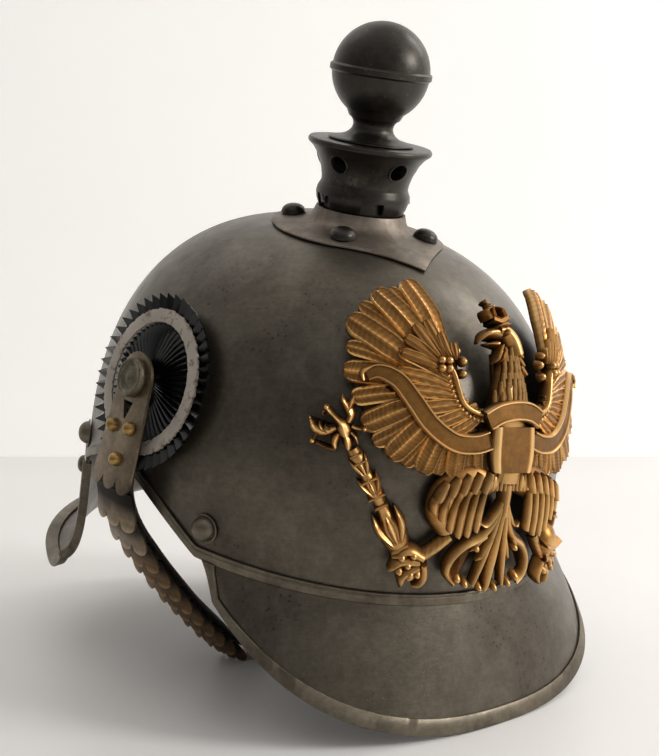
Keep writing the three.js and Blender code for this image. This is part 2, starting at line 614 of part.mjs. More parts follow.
function makeEagle() {
  const sheet = (points, holes) => toSolid(extruded(points, EAGLE.sheet, holes));
  const raised = (points, height = EAGLE.raised) => toSolid(extruded(points, height));
  const tail = [...TAIL_HALF, ...mirrored(TAIL_HALF).slice(1, -1)];
  const parts = [
    sheet(wingOutline()), sheet(mirrored(wingOutline())), sheet(LEG), sheet(mirrored(LEG)),
    sheet(tail, [...TAIL_HOLES, ...TAIL_HOLES.map(mirrored)]), raised(BODY), raised(THIGH), raised(mirrored(THIGH)),
    raised(ribbon(BANNER_SIDE), EAGLE.banner), raised(ribbon(mirrored(BANNER_SIDE)), EAGLE.banner),
    raised(ribbon(BANNER_MIDDLE), EAGLE.bannerMiddle),
    raised(sceptreOutline()), sheet(SMALL_EAGLE), raised(circle(ORB.x, ORB.y, ORB.r, 10)),
  ];
  const flat = toGeometry(parts.reduce((all, part) => all.add(part)));
  const fine = new TessellateModifier(EAGLE.longestEdge, 6).modify(flat.toNonIndexed());
  const geometry = mergeVertices(fine, 1e-3);
  const position = geometry.attributes.position;
  for (let i = 0; i < position.count; i++) {
    position.setXYZ(i, ...eagleSurface(position.getX(i), position.getY(i), position.getZ(i)).toArray());
  }
  let plate = toSolid(geometry);
  const { across, up, radius, sunk, clear } = EAGLE_POST;
  for (const x of across) {
    const foot = eagleSurface(x, up, clear - EAGLE.standOff);
    const head = eagleSurface(x, up, sunk);
    const post = new THREE.CylinderGeometry(radius, radius, foot.distanceTo(head), 8).rotateX(Math.PI / 2);
    const mesh = new THREE.Mesh(post);
    seat(mesh, foot.clone().lerp(head, 0.5), head.clone().sub(foot).normalize());
    mesh.updateMatrix();
    plate = plate.add(toSolid(post.applyMatrix4(mesh.matrix)));
  }
  place(helmet, 'eagle_plate', toGeometry(plate), GILT);
}

// Chin strap: a loop that hangs from both bosses to the surface the helmet stands on. Heights are above it.
const CHIN_PATH = [
  [-102.4, 16.4, 137.2], [-107.6, 19.3, 114], [-110.4, 21.9, 97], [-107.8, 24, 86.5], [-102.2, 26.2, 76.5], [-95.2, 28.5, 67.5],
  [-82.9, 33.6, 53], [-70.1, 37.2, 38.5], [-55.9, 40.8, 24.5], [-45, 43, 14], [-34, 45, 6], [-20, 45, 1],
];

function chinCurve() {
  const right = CHIN_PATH.map((p) => new THREE.Vector3(...p));
  const left = CHIN_PATH.map(([x, y, z]) => new THREE.Vector3(-x, y, z)).reverse();
  const [, y, z] = CHIN_PATH.at(-1);
  return new THREE.CatmullRomCurve3([...right, new THREE.Vector3(0, y, z), ...left], false, 'centripetal');
}

const chinLoop = chinCurve();
const chinLength = chinLoop.getLength();

// The place, direction, outward normal and width direction of the strap at a distance along it
function chinFrame(distance) {
  const share = distance / chinLength;
  const point = chinLoop.getPointAt(share);
  const along = chinLoop.getTangentAt(share);
  if (point.z < 1.05 * LEATHER.thickness / 2) {
    point.z = LEATHER.thickness / 2;
    along.setZ(0).normalize();
  }
  const outward = new THREE.Vector3(point.x, 0, point.z - LEATHER.facingZ);
  outward.addScaledVector(along, -outward.dot(along)).normalize();
  return { point, along, outward, across: new THREE.Vector3().crossVectors(along, outward) };
}

function makeLeather() {
  const stations = steps([LEATHER.start, chinLength - LEATHER.start], [LEATHER.stations]);
  const corners = [[-1, -1], [1, -1], [1, 1], [-1, 1]];
  const placed = (distance) => {
    const { point, outward, across } = chinFrame(distance);
    const fromMiddle = Math.abs((2 * distance) / chinLength - 1);
    const half = THREE.MathUtils.lerp(LEATHER.bottomWidth, LEATHER.topWidth, fromMiddle) / 2;
    return corners.map(([a, b]) => point.clone().addScaledVector(across, a * half)
      .addScaledVector(outward, (b * LEATHER.thickness) / 2));
  };
  place(chin, 'chin_leather', sweep(stations, corners, placed), LEATHER_BLACK);
}

// Seats a flat plate on the strap: its local +Y runs down the strap from one distance to another
function laidOnStrap(mesh, from, to, liftFrom, liftTo, mirror) {
  const far = mirror ? chinLength - to : to;
  const near = mirror ? chinLength - from : from;
  const a = chinFrame(near);
  const b = chinFrame(far);
  const top = a.point.clone().addScaledVector(a.outward, liftFrom);
  const bottom = b.point.clone().addScaledVector(b.outward, liftTo);
  const down = bottom.sub(top).normalize();
  const outward = a.outward.clone().add(b.outward);
  outward.addScaledVector(down, -outward.dot(down)).normalize();
  const across = new THREE.Vector3().crossVectors(down, outward);
  mesh.quaternion.setFromRotationMatrix(new THREE.Matrix4().makeBasis(across, down, outward));
  mesh.position.copy(top);
}

// The three-lobed lower edge that the head plate and every scale share
function lobedPlate(topHalf, bottomHalf, length, lobeDepth) {
  const points = [[-topHalf, 0], [topHalf, 0]];
  const lobes = [{ x: 0.68, half: 0.32 }, { x: 0, half: 0.36 }, { x: -0.68, half: 0.32 }];
  for (const { x, half } of lobes) {
    for (const angle of [0, 45, 90, 135, 180]) {
      const px = bottomHalf * (x + half * Math.cos(rad(angle)));
      const py = length - lobeDepth + lobeDepth * Math.sin(rad(angle));
      if (angle < 180 || x < -0.5) points.push([px, py]);
    }
  }
  return points;
}

function makeHeadPlates() {
  for (const [side, mirror] of [['right', false], ['left', true]]) {
    const { topR, bottomHalf, length, lobe, sheet, holeR } = HEAD_PLATE;
    const outline = lobedPlate(topR, bottomHalf, length, lobe);
    const dome = [150, 120, 90, 60, 30].map((angle) => [topR * Math.cos(rad(angle)), -topR * Math.sin(rad(angle))]);
    outline.splice(1, 0, ...dome);
    const holes = [circle(0, 0, holeR, 12), [[-3.4, 9.5], [3.4, 9.5], [0, 15.5]]];
    const plate = place(chin, `head_plate_${side}`, extruded(outline, sheet, holes), NICKEL);
    const liftFrom = LEATHER.thickness / 2 + HEAD_PLATE.seat;
    laidOnStrap(plate, 0, length, liftFrom, liftFrom + HEAD_PLATE.lift, mirror);
    HEAD_RIVET.spots.forEach(([x, y], k) => {
      const head = rivetHead(HEAD_RIVET.radius, HEAD_RIVET.height);
      const rivet = place(chin, `head_rivet_${side}_${k + 1}`, head, OLD_BRASS);
      rivet.quaternion.copy(plate.quaternion);
      const spot = new THREE.Vector3(mirror ? -x : x, y, sheet + GAP).applyQuaternion(plate.quaternion);
      rivet.position.copy(plate.position).add(spot);
    });
  }
}

function makeScales() {
  for (const [side, mirror] of [['right', false], ['left', true]]) {
    let from = SCALES.start;
    let step = SCALES.firstStep;
    for (let i = 0; i < SCALES.perSide; i++) {
      const length = step + SCALES.overlap;
      const half = THREE.MathUtils.lerp(SCALES.firstHalf, SCALES.lastHalf, i / (SCALES.perSide - 1));
      const outline = lobedPlate(half * 0.94, half, length, SCALES.lobe);
      const scale = place(chin, `chin_scale_${side}_${i + 1}`, extruded(outline, SCALES.sheet), OLD_BRASS);
      const lift = LEATHER.thickness / 2 + SCALES.seat;
      laidOnStrap(scale, from, from + length, lift, lift + (SCALES.lift * length) / step, mirror);
      from += step;
      step *= SCALES.shrink;
    }
  }
}

// The plain slide that closes the strap at its middle: it grips the two edges and stands clear of the table
function makeSlide() {
  const { length, wall: thick, foot } = SLIDE;
  const half = LEATHER.bottomWidth / 2 + GAP;
  const top = LEATHER.thickness + GAP;
  const outline = [
    [-half - thick, foot], [-half, foot], [-half, top], [half, top],
    [half, foot], [half + thick, foot], [half + thick, top + thick], [-half - thick, top + thick],
  ];
  const slide = extruded(outline, length);
  slide.rotateX(Math.PI / 2).rotateZ(Math.PI / 2).translate(-length / 2, CHIN_PATH.at(-1)[1], 0);
  place(chin, 'strap_slide', slide, NICKEL);
}

makeSkull();
makeRimBand();
makePeaks();
makeCrownPlate();
makeRivets();
makeVentCollar();
makeBallFinial();
makeCockade();
makeBosses();
makeEagle();
makeLeather();
makeHeadPlates();
makeScales();
makeSlide();

// Cuts a narrow flat under the rolled front edge, where the helmet stands on the surface
function flattenUnderside(mesh) {
  const box = new THREE.Box3().setFromObject(mesh, true);
  const size = box.getSize(new THREE.Vector3());
  const block = new THREE.BoxGeometry(2 * size.x, 2 * size.y, 1).translate(0, box.min.y, -0.5);
  const cut = toSolid(mesh.geometry.clone().applyMatrix4(mesh.matrixWorld)).subtract(toSolid(block));
  mesh.geometry = toGeometry(cut).applyMatrix4(mesh.matrixWorld.clone().invert());
  mesh.geometry.computeVertexNormals();
}

// The helmet leans forward until its front edge touches the surface; the whole is then centred over the origin
helmet.rotation.x = NOSE_DOWN;
helmet.updateMatrixWorld(true);
helmet.position.z = -STAND.flat - new THREE.Box3().setFromObject(helmet, true).min.z;
helmet.updateMatrixWorld(true);
flattenUnderside(helmet.getObjectByName('front_peak_trim'));

const pickelhaube = new THREE.Group();
pickelhaube.add(helmet, chin);
const middle = new THREE.Box3().setFromObject(pickelhaube, true).getCenter(new THREE.Vector3());
for (const half of [helmet, chin]) half.position.sub(new THREE.Vector3(middle.x, middle.y, 0));

export default pickelhaube;
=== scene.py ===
"""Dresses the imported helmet: shells, relief, chin scales, cockade, aged finishes, stage and camera."""
import math

import bmesh
import bpy
import numpy as np
from mathutils import Matrix, Vector


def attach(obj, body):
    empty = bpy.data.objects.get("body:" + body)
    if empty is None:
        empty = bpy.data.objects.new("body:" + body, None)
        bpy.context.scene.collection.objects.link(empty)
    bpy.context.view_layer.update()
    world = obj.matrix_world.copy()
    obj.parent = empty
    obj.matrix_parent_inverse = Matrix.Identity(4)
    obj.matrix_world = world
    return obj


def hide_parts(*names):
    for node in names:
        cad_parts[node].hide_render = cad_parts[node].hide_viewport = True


bl_info = {
    "name": "Helmet with Ball Finial",
    "version": (1, 0, 0),
    "blender": (4, 5, 0),
    "location": "3D View > Sidebar > Helmet",
    "description": "Builds a steel helmet with a ball finial, an eagle plate and scaled chin straps",
    "category": "Add Mesh",
}

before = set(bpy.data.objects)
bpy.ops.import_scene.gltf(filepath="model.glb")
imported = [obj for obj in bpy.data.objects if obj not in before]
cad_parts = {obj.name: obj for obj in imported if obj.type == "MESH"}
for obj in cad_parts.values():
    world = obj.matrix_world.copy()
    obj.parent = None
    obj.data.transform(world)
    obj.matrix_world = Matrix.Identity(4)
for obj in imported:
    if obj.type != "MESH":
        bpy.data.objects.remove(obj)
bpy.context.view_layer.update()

# Sizes are in millimetres in the helmet's upright frame, whose origin is the crown point under the finial
MM = 0.001
LEAN = math.radians(12.68)
CROWN_POINT = Vector((0.0, -46.749, 201.007)) * MM
HELMET = Matrix.Translation(CROWN_POINT) @ Matrix.Rotation(LEAN, 4, "X") @ Matrix.Scale(MM, 4)
STRAP = Matrix.Translation((0.0, CROWN_POINT.y, 0.0)) @ Matrix.Scale(MM, 4)
WELD = 0.002
STEPS_ROUND = dict(skull=288, rim_band=320, crown=180, vent=120, sleeve=96, ball=144, boss=56, ring=360)
LEATHER_STEPS = 260

SKULL = dict(half_length=116.5, half_width=102.0, height=122.0, centre_y=5.2, power=2.5, wall=1.2, vent=12.0)
RIM = dict(z=-125.0, slope=0.04, arch_mid=11.0, arch_half=50.0, arch_rise=21.5, arch_power=1.45)
BAND = dict(height=4.2, thickness=1.0, gap=0.3)
SHEET = 1.1
PEAK = dict(half_angle=math.radians(65.2), half_width=91.9, start_y=-53.2, start_z=-142.9, reach=79.9,
            slope=math.tan(math.radians(22.54)), side_power=2.37, front_power=2.64, bulge=1.5)
GUARD = dict(corner=math.radians(118.6), drop=61.0, corner_lift=3.0, flare=31.0, flare_rate=1.2,
             round=9.0, round_from=0.84)
TRIM = dict(width=6.5, lower=4.0, thickness=0.8)
CROWN = dict(turn=math.radians(-6), radius=38.5, tip=52.3, collar=19.8, sheet=1.0)
VENT = dict(holes=5, hole=3.75, hole_at=27.2, hole_out=22, hole_depth=20, hole_turn=math.radians(-2.5),
            notch_turn=math.radians(-27), notch_wide=10.0, notch_top=13.0, notch_out=20, notch_depth=12,
            bottom=7.6, rim_out=21.45, rim_tilt=math.atan(0.45), rim_thick=0.45)
BALL = dict(radius=21.15, centre=66.9, band=22.1, band_half=1.5)
COCKADE = dict(y=2.3, z=-66.8, teeth=44, outer=37.4, valley=34.8, ring=30.6, inner=25.3, dish=420.0)
BOSS = dict(post=4.0, post_top=9.9, button=8.1, button_top=13.4)
PLEATS = dict(foot=1.0, root_rise=0.4, root_share=0.35, sheet=0.55, under_ring=2.0, columns=6)
SPOKES = dict(count=52, columns=4, inside_ring=0.75, hole=0.5, back=0.7)
CROWN_RIVETS = dict(count=4, radius=30.0, turn=math.radians(-52), head=5.6, height=4.1)
SIDE_RIVETS = (("front", PEAK["half_angle"] + math.radians(1), -114.3),
               ("rear", GUARD["corner"] + math.radians(1.5), -111.5))
SIDE_RIVET = dict(head=6.2, height=5.0, dome=0.84)
GUARD_RIVET = dict(turn=math.radians(122), below_rim=6.0, head=4.2, height=3.0)
SEAT_GAP = 0.1
EAGLE = dict(centre_z=-75.0, globe=104.0, turn=math.radians(-5.7), stand_off=3.0, lean=6.0, lean_from=-80.0,
             lean_over=65.0, middle=-2.0)
EAGLE_POSTS = dict(across=(-40.0, 36.0), up=6.0, start=-2.5, end=0.8, radius=2.5, sides=16)

# The stage, in metres: the camera stands where the picture was taken from
CAMERA = dict(from_crown=(-0.3797, -0.4506, -0.001), heading=math.radians(38.863), dip=math.radians(6.512),
              lens=62.908, sensor=36.0)
STAGE = dict(size=3.0, wall_distance=1.145, floor_roughness=0.42, wall_roughness=0.8, wall_glow=0.32)
LAMPS = (
    ("key", (1.05, 0.1, 0.8), 0.9, 1.0, (1.0, 0.97, 0.93)),
    ("window", (0.67, -1.0, 0.64), 0.4, 0.5, (1.0, 0.985, 0.97)),
    ("back", (0.1, 0.75, 1.1), 0.8, 0.14, (1.0, 0.98, 0.95)),
)
LAMPS_AIM = Vector((0, 0, 0.12))
SKY = dict(colour=(1.0, 0.985, 0.965, 1), toward=(0.586, 0.17, 0.6), dark_at=-0.5, bright_at=0.7, dark=0.1,
           bright=1.05)


class FinishColours(bpy.types.PropertyGroup):
    """Colours of the finishes that a user may change."""

    steel: bpy.props.FloatVectorProperty(
        name="Steel", description="Skull, peak and neck guard", subtype="COLOR",
        default=(0.122, 0.104, 0.077))
    patina: bpy.props.FloatVectorProperty(
        name="Patina", description="Brown-grey clouds on the steel", subtype="COLOR",
        default=(0.058, 0.047, 0.033))
    border: bpy.props.FloatVectorProperty(
        name="Border", description="Rolled edges, rim band and crown plate", subtype="COLOR",
        default=(0.18, 0.153, 0.113))
    black_steel: bpy.props.FloatVectorProperty(
        name="Black steel", description="Ball finial, vent collar and crown rivets", subtype="COLOR",
        default=(0.024, 0.021, 0.017))
    gilt: bpy.props.FloatVectorProperty(
        name="Gilt", description="Faces of the eagle plate", subtype="COLOR", default=(0.43, 0.2, 0.05))
    # Worn gilt is rubbed wear with a painted highlight on the eagle's high relief; Recesses is painted shade,
    # with dirt, in its low relief.
    gilt_bright: bpy.props.FloatVectorProperty(
        name="Worn gilt", description="Worn high edges of the eagle plate", subtype="COLOR",
        default=(0.95, 0.61, 0.25))
    gilt_dark: bpy.props.FloatVectorProperty(
        name="Recesses", description="Dirt in the recesses of the eagle plate", subtype="COLOR",
        default=(0.022, 0.011, 0.004))
    nickel: bpy.props.FloatVectorProperty(
        name="Nickel", description="Head plates and first scales", subtype="COLOR",
        default=(0.23, 0.18, 0.12))
    brown_brass: bpy.props.FloatVectorProperty(
        name="Brown brass", description="Lower chin scales", subtype="COLOR", default=(0.165, 0.1, 0.046))
    rivet_brass: bpy.props.FloatVectorProperty(
        name="Rivet brass", description="Small rivets of the head plates", subtype="COLOR",
        default=(0.42, 0.27, 0.085))
    enamel: bpy.props.FloatVectorProperty(
        name="Black lacquer", description="Pleats of the cockade", subtype="COLOR",
        default=(0.0025, 0.0025, 0.0025))
    ring: bpy.props.FloatVectorProperty(
        name="Ring", description="Chipped ring of the cockade", subtype="COLOR",
        default=(0.4, 0.355, 0.305))
    leather: bpy.props.FloatVectorProperty(
        name="Leather", description="Strap under the scales", subtype="COLOR",
        default=(0.018, 0.014, 0.011))
    floor: bpy.props.FloatVectorProperty(
        name="Floor", description="Pale surface under the helmet", subtype="COLOR",
        default=(0.78, 0.765, 0.75))
    wall: bpy.props.FloatVectorProperty(
        name="Wall", description="Pale wall behind", subtype="COLOR", default=(0.86, 0.84, 0.815))


class FinishSizes(bpy.types.PropertyGroup):
    """Sizes of the detail that Blender adds."""

    pleat: bpy.props.FloatProperty(
        name="Pleat height", description="Height of the cockade's outer pleats", unit="LENGTH",
        default=0.0037)
    arch: bpy.props.FloatProperty(
        name="Scale arch", description="How far a chin scale's middle stands proud of its edges",
        unit="LENGTH", default=0.0017)
    bevel: bpy.props.FloatProperty(
        name="Edge rounding", description="Rounding of the sheet edges", unit="LENGTH", default=0.00022)
    lamp: bpy.props.FloatProperty(
        name="Lamp power", description="Power of the large lamp on the right", unit="POWER", default=19.0)


def colours():
    return bpy.context.scene.helmet_colours


def sizes():
    return bpy.context.scene.helmet_sizes


# Shapes of the helmet, as in the frame's source

def level_scale(z, grow=0.0):
    rise = max(z + SKULL["height"], 0.0) / (SKULL["height"] + grow)
    return (1.0 - min(rise, 1.0) ** SKULL["power"]) ** (1.0 / SKULL["power"])


def skull_point(angle, z, grow=0.0):
    scale = level_scale(z, grow)
    return Vector(((SKULL["half_width"] + grow) * scale * math.sin(angle),
                   SKULL["centre_y"] - (SKULL["half_length"] + grow) * scale * math.cos(angle), z))


def dome_height(x, y):
    oval = math.hypot(x / SKULL["half_width"], (y - SKULL["centre_y"]) / SKULL["half_length"])
    return SKULL["height"] * ((1.0 - min(oval, 1.0) ** SKULL["power"]) ** (1.0 / SKULL["power"]) - 1.0)


def rim_height(angle):
    y = SKULL["centre_y"] - SKULL["half_length"] * math.cos(angle)
    plane = RIM["z"] + RIM["slope"] * (y - SKULL["centre_y"])
    across = abs((y - RIM["arch_mid"]) / RIM["arch_half"])
    return plane + RIM["arch_rise"] * (1.0 - across ** RIM["arch_power"]) if across < 1.0 else plane


def signed_power(value, exponent):
    return math.copysign(abs(value) ** exponent, value)


def peak_edge(column):
    t = column * math.pi / 2
    y = PEAK["start_y"] - PEAK["reach"] * signed_power(math.cos(t), 2 / PEAK["front_power"])
    x = PEAK["half_width"] * signed_power(math.sin(t), 2 / PEAK["side_power"])
    return Vector((x, y, PEAK["start_z"] + PEAK["slope"] * (y - PEAK["start_y"])))


def peak_skin(column, row):
    angle = column * PEAK["half_angle"]
    root = skull_point(angle, rim_height(angle), BAND["gap"] + BAND["thickness"] / 2)
    root.z -= BAND["gap"]
    point = root.lerp(peak_edge(max(-1.0, min(1.0, column))), row)
    point.z += PEAK["bulge"] * math.sin(math.pi * row)
    return point


def guard_skin(column, row):
    from_rear = column * (math.pi - GUARD["corner"])
    angle = math.pi - from_rear
    flare = GUARD["flare"] * math.cos(GUARD["flare_rate"] * from_rear)
    to_corner = max(0.0, abs(column) - GUARD["round_from"]) / (1 - GUARD["round_from"])
    drop = GUARD["drop"] - GUARD["corner_lift"] * abs(column) ** 6 - GUARD["round"] * to_corner ** 3
    root = skull_point(angle, rim_height(angle), BAND["gap"] + BAND["thickness"] / 2)
    down = (0.0, 0.75 * drop, 0.95 * drop, drop)
    bezier = ((1 - row) ** 3, 3 * row * (1 - row) ** 2, 3 * row ** 2 * (1 - row), row ** 3)
    fall = sum(weight * depth for weight, depth in zip(bezier, down))
    point = root + outward_at(angle) * flare * bezier[3]
    point.z = root.z - BAND["gap"] - fall
    return point


def outward_at(angle):
    x, y = math.sin(angle) / SKULL["half_width"], -math.cos(angle) / SKULL["half_length"]
    return Vector((x, y, 0)).normalized()


def skin_normal(skin, column, row):
    step = 1e-3
    across = skin(column + step, row) - skin(column - step, row)
    down = skin(column, row + step) - skin(column, row - step)
    return down.cross(across).normalized()


def row_inside(skin, column, distance):
    stride = 0.004
    row, run = 1.0, 0.0
    while run < distance and row > 0.5:
        run += (skin(column, row) - skin(column, row - stride)).length
        row -= stride
    return row


def dome_normal(x, y):
    step = 0.5
    dx = (dome_height(x + step, y) - dome_height(x - step, y)) / (2 * step)
    dy = (dome_height(x, y + step) - dome_height(x, y - step)) / (2 * step)
    return Vector((-dx, -dy, 1)).normalized()


def seated(point, normal):
    """The matrix that stands a piece made about Z on a point, along a normal."""
    turn = Vector((0, 0, 1)).rotation_difference(normal).to_matrix().to_4x4()
    return Matrix.Translation(point) @ turn


def ear_point(sign):
    z = COCKADE["z"]
    scale = level_scale(z)
    across = math.sqrt(1 - ((COCKADE["y"] - SKULL["centre_y"]) / (SKULL["half_length"] * scale)) ** 2)
    return Vector((sign * SKULL["half_width"] * scale * across, COCKADE["y"], z))


def ear_matrix(sign):
    foot = ear_point(sign)
    return HELMET @ seated(foot, dome_normal(foot.x, foot.y))


# Mesh helpers

def grid(columns, rows, place):
    """A grid whose corners are carried to place(u, v), with u and v from 0 to 1, its meeting edges welded."""
    bm = bmesh.new()
    bmesh.ops.create_grid(bm, x_segments=columns, y_segments=rows, size=0.5)
    for vert in bm.verts:
        vert.co = place(vert.co.x + 0.5, vert.co.y + 0.5)
    bmesh.ops.remove_doubles(bm, verts=bm.verts, dist=WELD)
    return bm


def ring_of(columns, section, place):
    """A closed section of keys carried along u: place(u, key) gives a point. The section's ends join."""
    keys = [*section, section[0]]
    last = len(keys) - 1
    bm = grid(columns, last, lambda u, v: place(u, keys[round(v * last)]))
    close_ends(bm)
    return bm


def close_ends(bm):
    open_edges = [edge for edge in bm.edges if edge.is_boundary]
    if open_edges:
        bmesh.ops.holes_fill(bm, edges=open_edges, sides=0)
    bmesh.ops.recalc_face_normals(bm, faces=bm.faces)


def turned(outline, count):
    """A body turned about Z from its outline of radius and height."""
    bm = bmesh.new()
    verts = [bm.verts.new((radius, 0, z)) for radius, z in outline]
    edges = [bm.edges.new(pair) for pair in zip(verts, verts[1:])]
    bmesh.ops.spin(bm, geom=verts + edges, cent=(0, 0, 0), axis=(0, 0, 1), angle=2 * math.pi, steps=count,
                   use_merge=True)
    bmesh.ops.remove_doubles(bm, verts=bm.verts, dist=WELD)
    close_ends(bm)
    return bm


def arc(centre, radius, start, end, count):
    """Points of radius and height on an arc, from one angle in degrees to another."""
    angles = [math.radians(start + (end - start) * i / count) for i in range(count + 1)]
    return [(centre[0] + radius * math.cos(a), centre[1] + radius * math.sin(a)) for a in angles]


def absorb(bm, other):
    """Adds another bmesh to the first and frees it."""
    mesh = bpy.data.meshes.new("absorbed")
    other.to_mesh(mesh)
    other.free()
    bm.from_mesh(mesh)
    bpy.data.meshes.remove(mesh)


def dished(bm, bend):
    for vert in bm.verts:
        vert.co.z -= (vert.co.x ** 2 + vert.co.y ** 2) / (2 * bend)


def make_piece(name, bm, matrix, material, slot, *nodes, sharp=32.0):
    """Turns a bmesh into a finished piece in the frame, above the surface and riding on the one body."""
    bmesh.ops.transform(bm, matrix=matrix, verts=bm.verts)
    for vert in bm.verts:
        vert.co.z = max(vert.co.z, 0.0)
    mesh = bpy.data.meshes.new(name)
    bm.to_mesh(mesh)
    bm.free()
    mesh.polygons.foreach_set("use_smooth", [True] * len(mesh.polygons))
    mesh.set_sharp_from_angle(angle=math.radians(sharp))
    piece = bpy.data.objects.new(name, mesh)
    bpy.context.scene.collection.objects.link(piece)
    mesh.materials.append(material)
    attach(piece, "root")
    if nodes:
        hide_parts(*nodes)
    return piece


def rounded_edges(piece, width=None):
    bevel = piece.modifiers.new("rounding", "BEVEL")
    bevel.width = width or sizes().bevel
    bevel.segments = 2
    bevel.limit_method = "ANGLE"
    bevel.angle_limit = math.radians(40)


# Finishes

def add_node(tree, kind, **values):
    node = tree.nodes.new(kind)
    for key, value in values.items():
        if key in node.inputs:
            node.inputs[key].default_value = value
        else:
            setattr(node, key, value)
    return node


def socket(group, name, direction, kind, default=None):
    made = group.interface.new_socket(name=name, in_out=direction, socket_type="NodeSocket" + kind)
    if default is not None:
        made.default_value = default
    return made


def feed(tree, end, value):
    """Links a socket to another, or sets its value."""
    if isinstance(value, bpy.types.NodeSocket):
        tree.links.new(value, end)
    else:
        end.default_value = value


def mix_colour(tree, factor, first, second):
    node = add_node(tree, "ShaderNodeMix", data_type="RGBA")
    for index, value in ((0, factor), (6, first), (7, second)):
        feed(tree, node.inputs[index], value)
    return node.outputs[2]


def remap(tree, value, from_min, from_max, to_min, to_max):
    node = add_node(tree, "ShaderNodeMapRange")
    ends = {"Value": value, "From Min": from_min, "From Max": from_max, "To Min": to_min, "To Max": to_max}
    for key, number in ends.items():
        feed(tree, node.inputs[key], number)
    return node.outputs["Result"]


def maths(tree, operation, first, second):
    node = add_node(tree, "ShaderNodeMath", operation=operation)
    feed(tree, node.inputs[0], first)
    feed(tree, node.inputs[1], second)
    return node.outputs[0]


def shaded(tree, colour, shade):
    """A colour made lighter or darker by a shade that changes over the surface."""
    node = add_node(tree, "ShaderNodeVectorMath", operation="SCALE")
    feed(tree, node.inputs[0], colour)
    feed(tree, node.inputs["Scale"], shade)
    return node.outputs[0]


def placed_on_piece(tree, *textures):
    """Textures that read the piece's own coordinates."""
    place = add_node(tree, "ShaderNodeTexCoord").outputs["Object"]
    for texture in textures:
        tree.links.new(place, texture.inputs["Vector"])


def aged_metal_group():
    """Patina clouds, fine grain, scratches and pits, shared by all the metals."""
    known = bpy.data.node_groups.get("aged_metal")
    if known:
        return known
    group = bpy.data.node_groups.new("aged_metal", "ShaderNodeTree")
    socket(group, "Metal", "INPUT", "Color", (0.2, 0.2, 0.2, 1))
    socket(group, "Patina", "INPUT", "Color", (0.1, 0.1, 0.1, 1))
    socket(group, "Rust", "INPUT", "Color", (0.09, 0.035, 0.015, 1))
    for name, default in (("Cloud Scale", 22.0), ("Patina Amount", 0.6), ("Rust Amount", 0.1),
                          ("Smooth", 0.34), ("Rough", 0.55), ("Pits", 0.4)):
        socket(group, name, "INPUT", "Float", default)
    socket(group, "Colour", "OUTPUT", "Color")
    socket(group, "Roughness", "OUTPUT", "Float")
    socket(group, "Height", "OUTPUT", "Float")
    given = add_node(group, "NodeGroupInput").outputs
    out = add_node(group, "NodeGroupOutput").inputs
    link = group.links.new

    clouds = add_node(group, "ShaderNodeTexNoise", Detail=6.0, Roughness=0.62, Distortion=0.6)
    specks = add_node(group, "ShaderNodeTexVoronoi", Scale=330.0)
    fine = add_node(group, "ShaderNodeTexNoise", Scale=420.0, Detail=5.0, Roughness=0.7)
    blotch = add_node(group, "ShaderNodeTexNoise", Scale=95.0, Detail=4.0, Roughness=0.6, Distortion=1.2)
    stretch = add_node(group, "ShaderNodeMapping", Scale=(1.0, 0.35, 9.0), Rotation=(0.4, 0.3, 0.6))
    brush = add_node(group, "ShaderNodeTexNoise", Scale=160.0, Detail=3.0, Roughness=0.6)
    pits = add_node(group, "ShaderNodeTexVoronoi", Scale=650.0)
    rust = add_node(group, "ShaderNodeTexNoise", Scale=26.0, Detail=8.0, Roughness=0.75)
    placed_on_piece(group, clouds, specks, fine, blotch, pits, rust, stretch)
    link(stretch.outputs["Vector"], brush.inputs["Vector"])
    link(given["Cloud Scale"], clouds.inputs["Scale"])

    cloud = remap(group, clouds.outputs["Fac"], 0.36, 0.66, 0.0, 1.0)
    mottle = remap(group, blotch.outputs["Fac"], 0.35, 0.65, 0.0, 1.0)
    amount = maths(group, "MULTIPLY", maths(group, "ADD", maths(group, "MULTIPLY", cloud, 0.7),
                                            maths(group, "MULTIPLY", mottle, 0.3)), given["Patina Amount"])
    coloured = mix_colour(group, amount, given["Metal"], given["Patina"])
    speck = maths(group, "MULTIPLY", remap(group, specks.outputs["Distance"], 0.12, 0.26, 1.0, 0.0),
                  remap(group, clouds.outputs["Fac"], 0.52, 0.64, 0.0, 1.0))
    grain = remap(group, fine.outputs["Fac"], 0.3, 0.7, 0.82, 1.18)
    streak = remap(group, brush.outputs["Fac"], 0.3, 0.7, 0.92, 1.08)
    toned = shaded(group, coloured, maths(group, "MULTIPLY", grain, streak))
    spots = maths(group, "MULTIPLY", remap(group, rust.outputs["Fac"], 0.56, 0.68, 0.0, 1.0),
                  remap(group, fine.outputs["Fac"], 0.45, 0.6, 0.0, 1.0))
    rusty = maths(group, "MULTIPLY", maths(group, "MAXIMUM", spots, speck), given["Rust Amount"])
    link(mix_colour(group, rusty, toned, given["Rust"]), out["Colour"])

    pit = remap(group, pits.outputs["Distance"], 0.0, 0.22, 1.0, 0.0)
    pitted = maths(group, "MULTIPLY", maths(group, "MULTIPLY", pit, mottle), given["Pits"])
    rubbed = maths(group, "ADD", fine.outputs["Fac"], brush.outputs["Fac"])
    uneven = maths(group, "ADD", maths(group, "MULTIPLY", amount, 0.7),
                   maths(group, "MULTIPLY", rubbed, 0.22))
    link(remap(group, uneven, 0.1, 0.9, given["Smooth"], given["Rough"]), out["Roughness"])
    height = maths(group, "SUBTRACT", maths(group, "MULTIPLY", fine.outputs["Fac"], 0.35), pitted)
    link(maths(group, "ADD", height, maths(group, "MULTIPLY", brush.outputs["Fac"], 0.15)), out["Height"])
    return group


def new_material(name):
    material = bpy.data.materials.new(name)
    material.use_nodes = True
    return material, material.node_tree, material.node_tree.nodes["Principled BSDF"]


